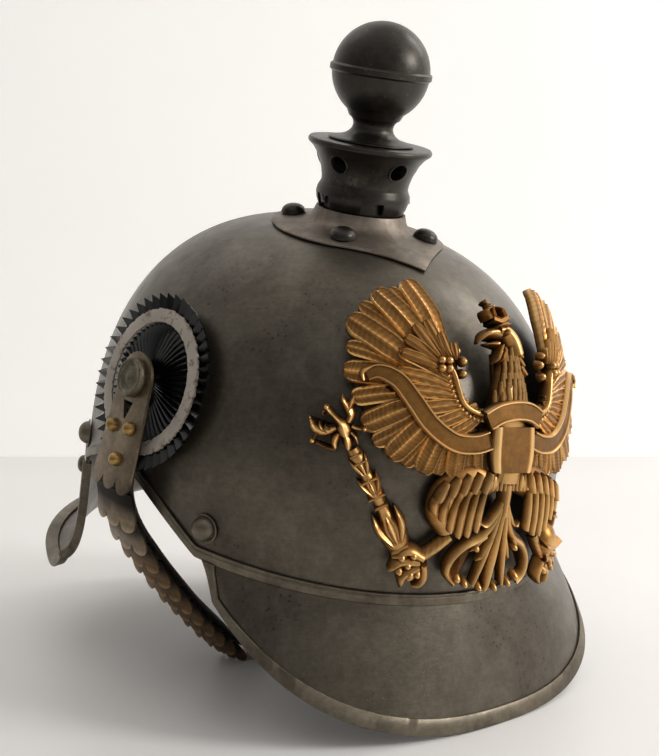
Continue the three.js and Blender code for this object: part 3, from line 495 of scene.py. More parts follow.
def bumped(tree, shader, height, distance):
    bump = add_node(tree, "ShaderNodeBump", Distance=distance)
    tree.links.new(height, bump.inputs["Height"])
    tree.links.new(bump.outputs["Normal"], shader.inputs["Normal"])


def metal(name, colour, patina, metallic=0.85, bump=0.00016, coat=0.0, **values):
    """A metal from the shared ageing group; values are its inputs."""
    material, tree, shader = new_material(name)
    group = add_node(tree, "ShaderNodeGroup")
    group.node_tree = aged_metal_group()
    group.inputs["Metal"].default_value = (*colour, 1)
    group.inputs["Patina"].default_value = (*patina, 1)
    for key, value in values.items():
        group.inputs[key.replace("_", " ")].default_value = value
    shader.inputs["Metallic"].default_value = metallic
    shader.inputs["Coat Weight"].default_value = coat
    shader.inputs["Coat Roughness"].default_value = 0.28
    tree.links.new(group.outputs["Colour"], shader.inputs["Base Color"])
    tree.links.new(group.outputs["Roughness"], shader.inputs["Roughness"])
    bumped(tree, shader, group.outputs["Height"], bump)
    return material


def relief_metal(name, colour, patina, bright, dark, low_end, metallic=0.9, **values):
    """An aged metal with painted shade, and rougher, where its piece's relief is low, and rubbed bright with
    a painted highlight where it is high.
    """
    material = metal(name, colour, patina, metallic, **values)
    tree = material.node_tree
    shader = tree.nodes["Principled BSDF"]
    aged = shader.inputs["Base Color"].links[0].from_socket
    rough = shader.inputs["Roughness"].links[0].from_socket
    relief = add_node(tree, "ShaderNodeAttribute", attribute_name="relief").outputs["Fac"]
    # Painted shade: darkest where the relief value is lowest.
    low = remap(tree, relief, 0.05, low_end, 1.0, 0.0)
    # Rubbed wear with a painted highlight where the relief value is highest.
    high = remap(tree, relief, 0.6, 1.0, 0.0, 0.9)
    worn_and_highlit = mix_colour(tree, high, aged, (*bright, 1))
    tree.links.new(mix_colour(tree, low, worn_and_highlit, (*dark, 1)), shader.inputs["Base Color"])
    dirty = maths(tree, "ADD", rough, maths(tree, "MULTIPLY", low, 0.25))
    tree.links.new(dirty, shader.inputs["Roughness"])
    return material


def lacquer(name, colour, chip, roughness, chips, shine):
    """Lacquer over metal, with chipped spots and a little dust in its unevenness."""
    material, tree, shader = new_material(name)
    noise = add_node(tree, "ShaderNodeTexNoise", Scale=260.0, Detail=6.0, Roughness=0.7)
    dust = add_node(tree, "ShaderNodeTexNoise", Scale=60.0, Detail=4.0)
    placed_on_piece(tree, noise, dust)
    mask = remap(tree, noise.outputs["Fac"], chips, chips + 0.05, 0.0, 1.0)
    toned = shaded(tree, colour, remap(tree, dust.outputs["Fac"], 0.3, 0.7, 0.78, 1.12))
    tree.links.new(mix_colour(tree, mask, toned, (*chip, 1)), shader.inputs["Base Color"])
    shader.inputs["Specular IOR Level"].default_value = shine
    rough = remap(tree, noise.outputs["Fac"], 0.3, 0.75, roughness, roughness + 0.18)
    tree.links.new(rough, shader.inputs["Roughness"])
    bumped(tree, shader, noise.outputs["Fac"], 0.00012)
    return material


def leather(name, colour):
    """Worn leather with a fine grain."""
    material, tree, shader = new_material(name)
    grain = add_node(tree, "ShaderNodeTexVoronoi", Scale=900.0)
    tone = add_node(tree, "ShaderNodeTexNoise", Scale=70.0, Detail=5.0)
    placed_on_piece(tree, grain, tone)
    toned = shaded(tree, colour, remap(tree, tone.outputs["Fac"], 0.3, 0.7, 0.6, 1.6))
    tree.links.new(toned, shader.inputs["Base Color"])
    tree.links.new(remap(tree, tone.outputs["Fac"], 0.3, 0.7, 0.42, 0.62), shader.inputs["Roughness"])
    bumped(tree, shader, grain.outputs["Distance"], 0.00025)
    return material


# Each finish: what makes it, its colours, of which a name stands for one that a user may change, and values
FINISHES = {
    "satin_steel": (metal, ("steel", "patina"), dict(
        Patina_Amount=1.0, Rust_Amount=0.75, Rust=(0.022, 0.013, 0.008, 1), Smooth=0.31, Rough=0.5,
        Pits=0.6, coat=0.22)),
    "border_steel": (metal, ("border", "patina"), dict(
        Patina_Amount=0.8, Rust_Amount=0.5, Smooth=0.34, Rough=0.55, Cloud_Scale=40.0)),
    # A lighter copy of the border steel for the crown plate on top: painted light from above.
    "crown_steel": (metal, ((0.235, 0.2, 0.16), (0.105, 0.082, 0.062)), dict(
        Patina_Amount=0.95, Rust_Amount=0.3, Smooth=0.36, Rough=0.58, Cloud_Scale=34.0, Pits=0.5)),
    "black_steel": (metal, ("black_steel", (0.046, 0.04, 0.032)), dict(
        Patina_Amount=0.85, Rust_Amount=0.6, Rust=(0.15, 0.13, 0.1, 1), Smooth=0.27, Rough=0.5,
        Cloud_Scale=60.0, Pits=0.8, coat=0.12)),
    "tarnished_nickel": (metal, ("nickel", (0.075, 0.052, 0.03)), dict(
        Patina_Amount=0.9, Rust_Amount=0.0, Smooth=0.2, Rough=0.42, Cloud_Scale=48.0)),
    "button_metal": (metal, ((0.19, 0.165, 0.115), (0.06, 0.05, 0.034)), dict(
        Patina_Amount=0.9, Rust_Amount=0.1, Smooth=0.3, Rough=0.55, Cloud_Scale=150.0, Pits=0.9,
        bump=0.00025)),
    "rivet_brass": (metal, ("rivet_brass", (0.13, 0.08, 0.03)), dict(
        Patina_Amount=0.7, Rust_Amount=0.0, Smooth=0.22, Rough=0.42, Cloud_Scale=160.0)),
    # In the relief finishes the third colour is rubbed wear with a painted highlight on high relief, and the
    # fourth is painted shade in low relief.
    "scale_nickel": (relief_metal, (
        "nickel", (0.085, 0.058, 0.034), (0.42, 0.33, 0.22), (0.012, 0.009, 0.006)), dict(
        low_end=0.5, Patina_Amount=0.9, Rust_Amount=0.0, Smooth=0.22, Rough=0.44, Cloud_Scale=60.0)),
    "brown_brass": (relief_metal, (
        "brown_brass", (0.07, 0.038, 0.017), (0.34, 0.225, 0.105), (0.01, 0.006, 0.0035)), dict(
        low_end=0.5, Patina_Amount=0.95, Rust_Amount=0.0, Smooth=0.28, Rough=0.5, Cloud_Scale=75.0,
        Pits=0.6)),
    "old_gilt": (relief_metal, ("gilt", (0.13, 0.07, 0.025), "gilt_bright", "gilt_dark"), dict(
        low_end=0.64, Patina_Amount=0.75, Rust_Amount=0.0, Smooth=0.23, Rough=0.46, Cloud_Scale=45.0,
        Pits=0.3, bump=0.00012)),
    "black_lacquer": (lacquer, ("enamel", (0.04, 0.038, 0.034)), dict(
        roughness=0.08, chips=0.72, shine=0.4)),
    "ring_lacquer": (lacquer, ("ring", (0.2, 0.15, 0.115)), dict(
        roughness=0.55, chips=0.56, shine=0.25)),
    "black_leather": (leather, ("leather",), {}),
}


def finish_of(name):
    """The finish with that name, made on first use."""
    known = bpy.data.materials.get("finish_" + name)
    if known:
        return known
    maker, tones, values = FINISHES[name]
    tones = [getattr(colours(), tone) if isinstance(tone, str) else tone for tone in tones]
    made = maker(name, *tones, **values)
    made.name = "finish_" + name
    return made


# Shells of the helmet

def add_skull():
    top = -0.35
    count, first, last, ease = 34, 8, 90, 0.9
    angles = [math.radians(first + (last - first) * (i / count) ** ease) for i in range(count + 1)]
    heights = [SKULL["height"] * (math.cos(a) ** (2 / SKULL["power"]) - 1) for a in angles]
    heights = [top, *[z for z in heights if z < -1.0], RIM["z"]]
    rows = [(top - z) / (top - RIM["z"]) for z in heights]
    section = [(row, 0.0) for row in rows] + [(row, -SKULL["wall"]) for row in reversed(rows)]

    def place(u, key):
        row, grow = key
        angle = 2 * math.pi * u
        z = top + row * (rim_height(angle) - top)
        if row > 0:
            return skull_point(angle, z if row == 1 else z + grow * (1 - row), grow)
        radius = SKULL["vent"]
        return Vector((radius * math.sin(angle), -radius * math.cos(angle), dome_height(0, -radius) + grow))

    bm = ring_of(STEPS_ROUND["skull"], section, place)
    make_piece("skull_shell", bm, HELMET, finish_of("satin_steel"), "steel", "skull", sharp=50)


def add_rim_band():
    inner, outer, high = BAND["gap"], BAND["gap"] + BAND["thickness"], BAND["height"]
    low = -0.6
    section = [(low, inner), (high, inner), (high, outer), (high - 0.9, outer), (high - 1.3, outer - 0.35),
               (high - 1.7, outer), (low, outer)]

    def place(u, key):
        angle = 2 * math.pi * u
        return skull_point(angle, rim_height(angle) + key[0], key[1])

    bm = ring_of(STEPS_ROUND["rim_band"], section, place)
    piece = make_piece("rim_strip", bm, HELMET, finish_of("border_steel"), "border_steel", "rim_band")
    rounded_edges(piece)


def underside(skin):
    return math.copysign(1.0, -skin_normal(skin, 0.0, 0.95).z)


def add_sheet(name, node, skin, columns, rows):
    """A bent sheet that ends inside its rolled edge."""
    side = underside(skin) * SHEET
    inside = TRIM["thickness"] + BAND["gap"]
    shares = [i / rows for i in range(rows + 1)]
    section = [(share, 0.0) for share in shares] + [(share, side) for share in reversed(shares)]
    ends = {}

    def place(u, key):
        column = 2 * u - 1
        if column not in ends:
            ends[column] = row_inside(skin, column, inside)
        row = key[0] * ends[column]
        point = skin(column, row)
        return point + skin_normal(skin, column, min(max(row, 0.002), 0.998)) * key[1] if key[1] else point

    bm = ring_of(columns, section, place)
    piece = make_piece(name, bm, HELMET, finish_of("satin_steel"), "steel", node, sharp=50)
    rounded_edges(piece)


def add_trim(name, node, skin, columns, slack):
    """The rolled edge: a channel that grips the sheet, with rounded lips."""
    top = TRIM["thickness"] + slack
    bottom = -SHEET - slack
    wide, low, thick = TRIM["width"], TRIM["lower"], TRIM["thickness"]
    round_off = 0.35
    section = [(0.0, bottom - thick + round_off), (0.0, top - round_off), (round_off, top), (wide - 0.4, top),
               (wide, top - 0.3), (wide, slack), (thick, slack), (thick, bottom), (low, bottom),
               (low, bottom - thick), (round_off, bottom - thick)]
    out = -underside(skin)

    def place(u, key):
        column = 2 * u - 1
        row = row_inside(skin, column, key[0])
        normal = skin_normal(skin, column, min(row, 0.99))
        point = skin(column, row) + normal * out * key[1]
        return point

    bm = ring_of(columns, section, place)
    for sign in (-1, 1):
        absorb(bm, side_lip(skin, sign, slack))
    make_piece(name, bm, HELMET, finish_of("border_steel"), "border_steel", node, sharp=40)


def side_lip(skin, sign, slack):
    """The rolled edge along one side of a sheet, from the rim band down to the corner."""
    top, bottom = TRIM["thickness"] + slack, -SHEET - slack
    thick, wide, out = TRIM["thickness"], 0.75 * TRIM["width"], -underside(skin)
    start = -thick - slack
    section = [(start, bottom - thick), (start, top - 0.3), (start + 0.3, top), (wide, top),
               (wide + 0.4, top - 0.4), (wide + 0.4, slack / 2), (-slack, slack / 2), (-slack, bottom),
               (wide / 2, bottom), (wide / 2, bottom - thick)]
    near = 0.99

    def place(u, key):
        row = 0.02 + 0.95 * u
        edge = skin(sign, row)
        inward = (skin(sign * near, row) - edge) / (1 - near)
        length = inward.length
        normal = skin_normal(skin, sign * near, min(max(row, 0.02), 0.98))
        inset, lift = key
        foot = skin(sign * (1 - inset / length), row) if inset > 0 else edge + inward.normalized() * inset
        return foot + normal * out * lift

    return ring_of(40, section, place)


def crown_reach(angle):
    tangent = math.acos(CROWN["radius"] / CROWN["tip"])
    away = abs((angle + math.pi) % (2 * math.pi) - math.pi)
    return CROWN["radius"] / math.cos(tangent - away) if away < tangent else CROWN["radius"]


def add_crown_plate():
    gap, sheet = BAND["gap"], CROWN["sheet"]
    rows = [(0.0, 7.0, None), (0.06, None, 4.6), (0.12, None, 3.2), (0.2, None, 2.2), (0.3, None, 1.75),
            (0.5, None, 2 * gap + sheet), (0.75, None, 2 * gap + sheet), (0.97, None, 2 * gap + sheet),
            (1.0, None, 2 * gap + sheet - 0.25)]
    section = [(*row, 0.0) for row in rows] + [(*row, sheet) for row in reversed(rows)]

    def place(u, key):
        share, level, lift, inside = key
        angle = 2 * math.pi * u
        edge = crown_reach(angle)
        radius = CROWN["collar"] + (edge - CROWN["collar"]) * share - (inside if share < 0.25 else 0.0)
        x = radius * math.sin(angle + CROWN["turn"])
        y = -radius * math.cos(angle + CROWN["turn"])
        return Vector((x, y, level if level is not None else dome_height(x, y) + lift - inside * 0.6))

    bm = ring_of(STEPS_ROUND["crown"], section, place)
    make_piece("crown_sheet", bm, HELMET, finish_of("crown_steel"), "border_steel", "crown_plate", sharp=35)


def rivet(radius, height, count=40, dome=0.97):
    """A domed rivet head on a thin flange."""
    outline = [(0, 0), (radius, 0), (radius, height * 0.08), (radius * (dome + 1) / 2, height * 0.13)]
    outline += [(radius * dome * math.cos(a) ** 0.9, height * (0.1 + 0.9 * math.sin(a)))
                for a in [math.radians(90 * i / 10) for i in range(10)]]
    outline.append((0, height))
    return turned(outline, count)


def add_rivets():
    crown, side_head, guard = CROWN_RIVETS, SIDE_RIVET, GUARD_RIVET
    for i in range(crown["count"]):
        angle = crown["turn"] + 2 * math.pi * i / crown["count"]
        x, y = crown["radius"] * math.sin(angle), -crown["radius"] * math.cos(angle)
        normal = dome_normal(x, y)
        foot = Vector((x, y, dome_height(x, y))) + normal * (3 * BAND["gap"] + CROWN["sheet"] + SEAT_GAP)
        head = rivet(crown["head"], crown["height"])
        make_piece(f"crown_stud_{i + 1}", head, HELMET @ seated(foot, normal), finish_of("black_steel"),
                   "dark_steel", f"crown_rivet_{i + 1}")
    for side, sign in (("right", -1), ("left", 1)):
        for end, angle, z in SIDE_RIVETS:
            normal = outward_at(sign * angle)
            foot = skull_point(sign * angle, z) + normal * (BAND["gap"] + SEAT_GAP)
            head = rivet(side_head["head"], side_head["height"], dome=side_head["dome"])
            # The side rivets take the lighter border steel: a painted highlight that makes them brighter than
            # the skull.
            make_piece(f"{end}_stud_{side}", head, HELMET @ seated(foot, normal), finish_of("border_steel"),
                       "steel", f"{end}_rivet_{side}")
        angle = sign * guard["turn"]
        out = 2 * (BAND["gap"] + SEAT_GAP) + BAND["thickness"] / 2
        foot = skull_point(angle, rim_height(angle) - guard["below_rim"], out)
        make_piece(f"guard_stud_{side}", rivet(guard["head"], guard["height"]),
                   HELMET @ seated(foot, outward_at(angle)), finish_of("satin_steel"), "steel",
                   f"guard_rivet_{side}")


def cut_away(piece, cutter_bm):
    """Cuts a shape out of a piece and keeps the result as its mesh."""
    mesh = bpy.data.meshes.new("cutter")
    cutter_bm.to_mesh(mesh)
    cutter_bm.free()
    cutter = bpy.data.objects.new("cutter", mesh)
    bpy.context.scene.collection.objects.link(cutter)
    boolean = piece.modifiers.new("cut", "BOOLEAN")
    boolean.operation = "DIFFERENCE"
    boolean.solver = "EXACT"
    boolean.object = cutter
    bpy.context.view_layer.update()
    evaluated = piece.evaluated_get(bpy.context.evaluated_depsgraph_get())
    result = bpy.data.meshes.new_from_object(evaluated)
    piece.modifiers.clear()
    piece.data = result
    bpy.data.objects.remove(cutter)
    result.set_sharp_from_angle(angle=math.radians(35))


def add_vent():
    outline = [(18.0, 7.6), (19.0, 7.6), (19.4, 8.2), (20.4, 10.5), (20.9, 13.0), (20.5, 15.5), (19.4, 17.8),
               (19.2, 18.6), (19.4, 20.5), (20.1, 23.5), (21.2, 26.6), (22.7, 29.6), (24.6, 32.2),
               (26.2, 33.6), (26.9, 34.1), (27.3, 34.9), (27.2, 35.8), (26.6, 36.5), (25.8, 36.6),
               (5.5, 36.6), (5.5, 35.4), (24.2, 35.4), (22.8, 32.4), (20.8, 28.4), (18.8, 23.0), (18.0, 18.3),
               (19.6, 13.0), (18.0, 7.6)]
    bm = turned(outline, STEPS_ROUND["vent"])
    piece = make_piece("vent_cup", bm, HELMET, finish_of("black_steel"), "dark_steel", "vent_collar")
    cutter = bmesh.new()
    flat = Matrix.Rotation(math.pi / 2, 4, "X")
    for i in range(VENT["holes"]):
        turn = i * 2 * math.pi / VENT["holes"]
        hole_turn = Matrix.Rotation(VENT["hole_turn"] + turn, 4, "Z")
        hole = hole_turn @ Matrix.Translation((0, -VENT["hole_out"], VENT["hole_at"]))
        bmesh.ops.create_cone(cutter, cap_ends=True, segments=32, radius1=VENT["hole"],
                              radius2=VENT["hole"], depth=VENT["hole_depth"], matrix=HELMET @ hole @ flat)
        notch_turn = Matrix.Rotation(VENT["notch_turn"] + turn, 4, "Z")
        notch = notch_turn @ Matrix.Translation((0, -VENT["notch_out"], VENT["bottom"]))
        tall = 2 * (VENT["notch_top"] - VENT["bottom"])
        size = Matrix.Diagonal((VENT["notch_wide"], VENT["notch_depth"], tall, 1))
        bmesh.ops.create_cube(cutter, size=1, matrix=HELMET @ notch @ size)
    cut_away(piece, cutter)
    add_vent_details(piece)


def add_vent_details(piece):
    """The raised rim of each hole and the sleeve seen through the notches."""
    extra = turned([(15.4, 5.6), (16.6, 5.6), (16.6, 18.5), (15.4, 18.5), (15.4, 5.6)], STEPS_ROUND["sleeve"])
    for i in range(VENT["holes"]):
        rim = turned([(VENT["hole"] + 0.5 + r, z) for r, z in arc((0, 0), VENT["rim_thick"], 0, 360, 8)], 36)
        turn = Matrix.Rotation(VENT["hole_turn"] + i * 2 * math.pi / VENT["holes"], 4, "Z")
        stand = turn @ Matrix.Translation((0, -VENT["rim_out"], VENT["hole_at"]))
        lean = Matrix.Rotation(math.pi / 2 + VENT["rim_tilt"], 4, "X")
        bmesh.ops.transform(rim, matrix=stand @ lean, verts=rim.verts)
        absorb(extra, rim)
    bmesh.ops.transform(extra, matrix=HELMET, verts=extra.verts)
    bm = bmesh.new()
    bm.from_mesh(piece.data)
    absorb(bm, extra)
    bm.to_mesh(piece.data)
    bm.free()
    piece.data.set_sharp_from_angle(angle=math.radians(35))


def add_ball():
    edge = math.degrees(math.asin(BALL["band_half"] / BALL["radius"]))
    centre = (0, BALL["centre"])
    outline = [(0, 34), (5, 34), (5, 36.9), (18.4, 36.9), (18.8, 37.15), (18.7, 37.5), (18.0, 37.8),
               (16.4, 38.1), (14.0, 38.6), (11.9, 39.4), (10.3, 40.5), (9.4, 41.6), (8.9, 42.8), (8.8, 44.0),
               (9.1, 45.2), (9.9, 46.4), (11.2, 47.3)]
    outline += arc(centre, BALL["radius"], -54, -edge - 1.2, 18)
    outline += [(BALL["band"] - 0.7, BALL["centre"] - 1.7), (BALL["band"], BALL["centre"] - 1.1),
                (BALL["band"] + 0.05, BALL["centre"]), (BALL["band"], BALL["centre"] + 1.1),
                (BALL["band"] - 0.7, BALL["centre"] + 1.7)]
    outline += arc(centre, BALL["radius"], edge + 1.2, 89, 28)
    outline.append((0, BALL["centre"] + BALL["radius"]))
    bm = turned(outline, STEPS_ROUND["ball"])
    make_piece("finial", bm, HELMET, finish_of("black_steel"), "dark_steel", "ball_finial", sharp=28)


# Cockade and bosses

def fold(u, count):
    """A zigzag from 0 to 1 and back, a number of times round."""
    share = (u * count) % 1.0
    return 1 - abs(2 * share - 1)


def around(radius, u, z):
    angle = 2 * math.pi * u
    return Vector((radius * math.cos(angle), radius * math.sin(angle), z))


def pleated_edge():
    teeth, height = COCKADE["teeth"], sizes().pleat / MM
    start = COCKADE["ring"] - PLEATS["under_ring"]
    root = PLEATS["root_share"]

    def pleats(u, key):
        share, top = key
        wave = fold(u, teeth)
        edge = COCKADE["valley"] + (COCKADE["outer"] - COCKADE["valley"]) * wave
        rise = PLEATS["foot"] + PLEATS["root_rise"] * (1 - share)
        rise += height * wave * (root + (1 - root) * share)
        return around(start + (edge - start) * share, u, rise if top else rise - PLEATS["sheet"])

    shares = [0, 0.25, 0.5, 0.75, 1.0]
    section = [(share, True) for share in shares] + [(share, False) for share in reversed(shares)]
    return ring_of(teeth * PLEATS["columns"], section, pleats)


def ragged_ring():
    inner, ring = COCKADE["inner"], COCKADE["ring"]

    def band(u, key):
        radius, z = key
        angle = 2 * math.pi * u
        ragged = 0.28 * math.sin(37 * angle) * math.sin(11 * angle + 1) + 0.18 * math.sin(83 * angle)
        if radius in (inner, ring):
            radius += ragged if radius == ring else -0.6 * ragged - 0.2
        return around(radius, u, z)

    section = [(inner, 2.75), (ring, 2.75), (ring, 3.2), (ring, 3.9), (29.0, 4.2), (27.3, 4.1), (inner, 3.6)]
    return ring_of(STEPS_ROUND["ring"], section, band)


def pleated_heart():
    spokes = SPOKES["count"]
    edge = COCKADE["inner"] - SPOKES["inside_ring"]
    hole = BOSS["post"] + SPOKES["hole"]

    def rays(u, key):
        radius, z, groove = key
        return around(radius, u, z + groove * (fold(u, spokes) - 0.5))

    rows = [(hole, 3.9, 0.0), (9.0, 3.7, 0.7), (14.0, 3.4, 1.4), (20.0, 3.0, 1.9), (edge - 0.6, 2.6, 2.1),
            (edge, 2.3, 1.6)]
    section = rows + [(radius, SPOKES["back"], 0.0) for radius in (edge, hole)]
    return ring_of(spokes * SPOKES["columns"], section, rays)


def add_cockade():
    pieces = (
        ("cockade_pleats", pleated_edge(), "black_lacquer", "black_lacquer", "cockade_outer", 24),
        ("cockade_band", ragged_ring(), "ring_lacquer", "white_lacquer", "cockade_ring", 50),
        ("cockade_heart", pleated_heart(), "black_lacquer", "black_lacquer", "cockade_centre", 24),
    )
    for name, bm, finish, slot, node, sharp in pieces:
        dished(bm, COCKADE["dish"])
        make_piece(name, bm, ear_matrix(-1), finish_of(finish), slot, node, sharp=sharp)


def add_bosses():
    post, top, button, high = BOSS["post"], BOSS["post_top"], BOSS["button"], BOSS["button_top"]
    outline = [(0, 0.5), (post, 0.5), (post, top), (button - 0.4, top), (button, top + 0.4),
               (button, high - 1.0), (button - 0.3, high - 0.3), (button - 1.0, high),
               (button - 1.8, high - 0.2), (button - 2.4, high - 0.9), (button - 3.2, high - 1.1),
               (2.8, high - 0.9), (2.2, high - 0.3), (1.2, high), (0, high + 0.05)]
    for side, sign in (("right", -1), ("left", 1)):
        make_piece(f"boss_button_{side}", turned(outline, STEPS_ROUND["boss"]), ear_matrix(sign),
                   finish_of("button_metal"), "nickel", f"chin_boss_{side}")


# Chin strap, as in the frame's source

CHIN_PATH = [(-102.4, 16.4, 137.2), (-107.6, 19.3, 114), (-110.4, 21.9, 97), (-107.8, 24, 86.5),
             (-102.2, 26.2, 76.5), (-95.2, 28.5, 67.5), (-82.9, 33.6, 53), (-70.1, 37.2, 38.5),
             (-55.9, 40.8, 24.5), (-45, 43, 14), (-34, 45, 6), (-20, 45, 1)]
LEATHER = dict(thickness=2.0, top_width=22.0, bottom_width=17.0, start=11.0, facing=110.0)
HEAD_PLATE = dict(top=12.0, bottom_half=14.5, length=46.0, lobe=5.0, sheet=1.2, hole=5.3, seat=0.6, lift=3.2)
HEAD_RIVETS = ((-6.5, 19.0), (6.5, 20.5), (-2.0, 33.0))
HEAD_RIVET = dict(head=3.0, height=3.5, sides=28)
HEAD_ARCH = 0.9
LEATHER_RIB = dict(depth=0.35, every=3.1)
SCALES = dict(count=11, start=43.5, first_step=12.6, shrink=0.965, overlap=5.0, first_half=14.5,
              last_half=10.0, lobe=3.6, sheet=0.8, seat=0.9, lift=1.95)


def strap_line():
    """Points along the strap's loop with their running length, on a centripetal curve."""
    right = [np.array(p, float) for p in CHIN_PATH]
    left = [p * (-1, 1, 1) for p in reversed(right)]
    line = [*right, np.array((0, *CHIN_PATH[-1][1:]), float), *left]
    ends = [2 * line[0] - line[1], *line, 2 * line[-1] - line[-2]]
    points = []
    for p0, p1, p2, p3 in zip(ends, ends[1:], ends[2:], ends[3:]):
        d0, d1, d2 = (np.linalg.norm(b - a) ** 0.5 for a, b in ((p0, p1), (p1, p2), (p2, p3)))
        m1 = d1 * ((p1 - p0) / d0 - (p2 - p0) / (d0 + d1) + (p2 - p1) / d1)
        m2 = d1 * ((p2 - p1) / d1 - (p3 - p1) / (d1 + d2) + (p3 - p2) / d2)
        for i in range(24):
            t = i / 24
            points.append((2 * t ** 3 - 3 * t ** 2 + 1) * p1 + (t ** 3 - 2 * t ** 2 + t) * m1
                          + (3 * t ** 2 - 2 * t ** 3) * p2 + (t ** 3 - t ** 2) * m2)
    points.append(line[-1])
    points = np.array(points)
    run = np.concatenate([[0], np.cumsum(np.linalg.norm(np.diff(points, axis=0), axis=1))])
    return points, run


LINE, RUN = strap_line()
LOOP_LENGTH = float(RUN[-1])


def strap_point(distance):
    return Vector([np.interp(distance, RUN, LINE[:, axis]) for axis in range(3)])


def strap_frame(distance):
    """Place, direction, outward normal and width direction of the strap at a distance along it."""
    step = 0.5
    point = strap_point(distance)
    along = (strap_point(distance + step) - strap_point(distance - step)).normalized()
    low = LEATHER["thickness"] / 2
    if point.z < 1.05 * low:
        point.z = low
        along = Vector((along.x, along.y, 0)).normalized()
    outward = Vector((point.x, 0, point.z - LEATHER["facing"]))
    outward = (outward - along * outward.dot(along)).normalized()
    return point, along, outward, along.cross(outward)


def laid_on_strap(start, end, lift_start, lift_end, mirror):
    """The matrix that lays a flat plate on the strap, its +Y running down the strap."""
    if mirror:
        start, end = LOOP_LENGTH - start, LOOP_LENGTH - end
    first, _, first_out, _ = strap_frame(start)
    last, _, last_out, _ = strap_frame(end)
    top = first + first_out * lift_start
    down = (last + last_out * lift_end - top).normalized()
    outward = first_out + last_out
    outward = (outward - down * outward.dot(down)).normalized()
    across = down.cross(outward)
    turn = Matrix((across, down, outward)).transposed().to_4x4()
    return STRAP @ Matrix.Translation(top) @ turn


def lobed_outline(top_half, bottom_half, length, depth, crown=()):
    """The outline of a plate with a straight or rounded top and three lobes below."""
    points = [Vector((x, y)) for x, y in crown] or [Vector((-top_half, 0)), Vector((top_half, 0))]
    lobes = ((0.68, 0.32), (0.0, 0.36), (-0.68, 0.32))
    for x, half in lobes:
        for i in range(11):
            angle = math.pi * i / 10
            point = Vector((bottom_half * (x + half * math.cos(angle)),
                            length - depth + depth * math.sin(angle) ** 0.8))
            if (point - points[-1]).length > 0.05:
                points.append(point)
    return points


def circle(x, y, radius, count):
    return [Vector((x + radius * math.cos(2 * math.pi * i / count),
                    y + radius * math.sin(2 * math.pi * i / count)))
            for i in range(count)]


def cut_plate(outlines, half, length, sheet, arch, flare=0.0):
    """A sheet cut to its outlines, with a fine enough mesh to be arched across its width."""
    bm = bmesh.new()
    for outline in outlines:
        verts = [bm.verts.new((p.x, p.y, 0)) for p in outline]
        for a, b in zip(verts, verts[1:] + verts[:1]):
            bm.edges.new((a, b))
    bmesh.ops.triangle_fill(bm, use_beauty=True, use_dissolve=False, edges=bm.edges[:])
    for normal, reach, count in (((1, 0, 0), half, 14), ((0, 1, 0), length, 12)):
        for i in range(1, count):
            at = -reach + 2 * reach * i / count
            bmesh.ops.bisect_plane(bm, geom=bm.verts[:] + bm.edges[:] + bm.faces[:],
                                   plane_co=Vector(normal) * at, plane_no=normal)
    bmesh.ops.recalc_face_normals(bm, faces=bm.faces)
    if sum(face.normal.z for face in bm.faces) < 0:
        bmesh.ops.reverse_faces(bm, faces=bm.faces)
    made = bmesh.ops.extrude_face_region(bm, geom=bm.faces[:])
    lifted = [item for item in made["geom"] if isinstance(item, bmesh.types.BMVert)]
    bmesh.ops.translate(bm, verts=lifted, vec=(0, 0, sheet))
    layer = bm.verts.layers.float.new("relief")
    # The relief value paints shade and highlight: low at each plate's top, where the plate above lies over
    # it, and highest at its lower lobed edge.
    for vert in bm.verts:
        share = vert.co.x / half
        down = vert.co.y / length
        vert[layer] = min(0.95, max(0.0, 1.1 * down - 0.3 + (0.2 if down > 0.93 else 0.0)))
        vert.co.z += arch * (1 - share * share) + flare * (vert.co.y / length) ** 3
    bmesh.ops.recalc_face_normals(bm, faces=bm.faces)
    return bm


def add_leather():
    thick = LEATHER["thickness"] / 2
    edge = 0.5
    section = [(-1, -thick + edge), (-1, thick - edge), (-0.95, thick), (0.95, thick), (1, thick - edge),
               (1, -thick + edge), (0.95, -thick), (-0.95, -thick)]
    start, end = LEATHER["start"], LOOP_LENGTH - LEATHER["start"]

    def place(u, key):
        distance = start + (end - start) * u
        point, _, outward, across = strap_frame(distance)
        from_middle = abs(2 * distance / LOOP_LENGTH - 1)
        half = (LEATHER["bottom_width"] + (LEATHER["top_width"] - LEATHER["bottom_width"]) * from_middle) / 2
        notch = LEATHER_RIB["depth"] * abs(math.sin(math.pi * distance / LEATHER_RIB["every"]))
        rib = notch if abs(key[0]) > 0.9 else 0.0
        return point + across * key[0] * (half - rib) + outward * key[1]

    bm = ring_of(LEATHER_STEPS, section, place)
    make_piece("strap_leather", bm, STRAP, finish_of("black_leather"), "leather", "chin_leather", sharp=60)


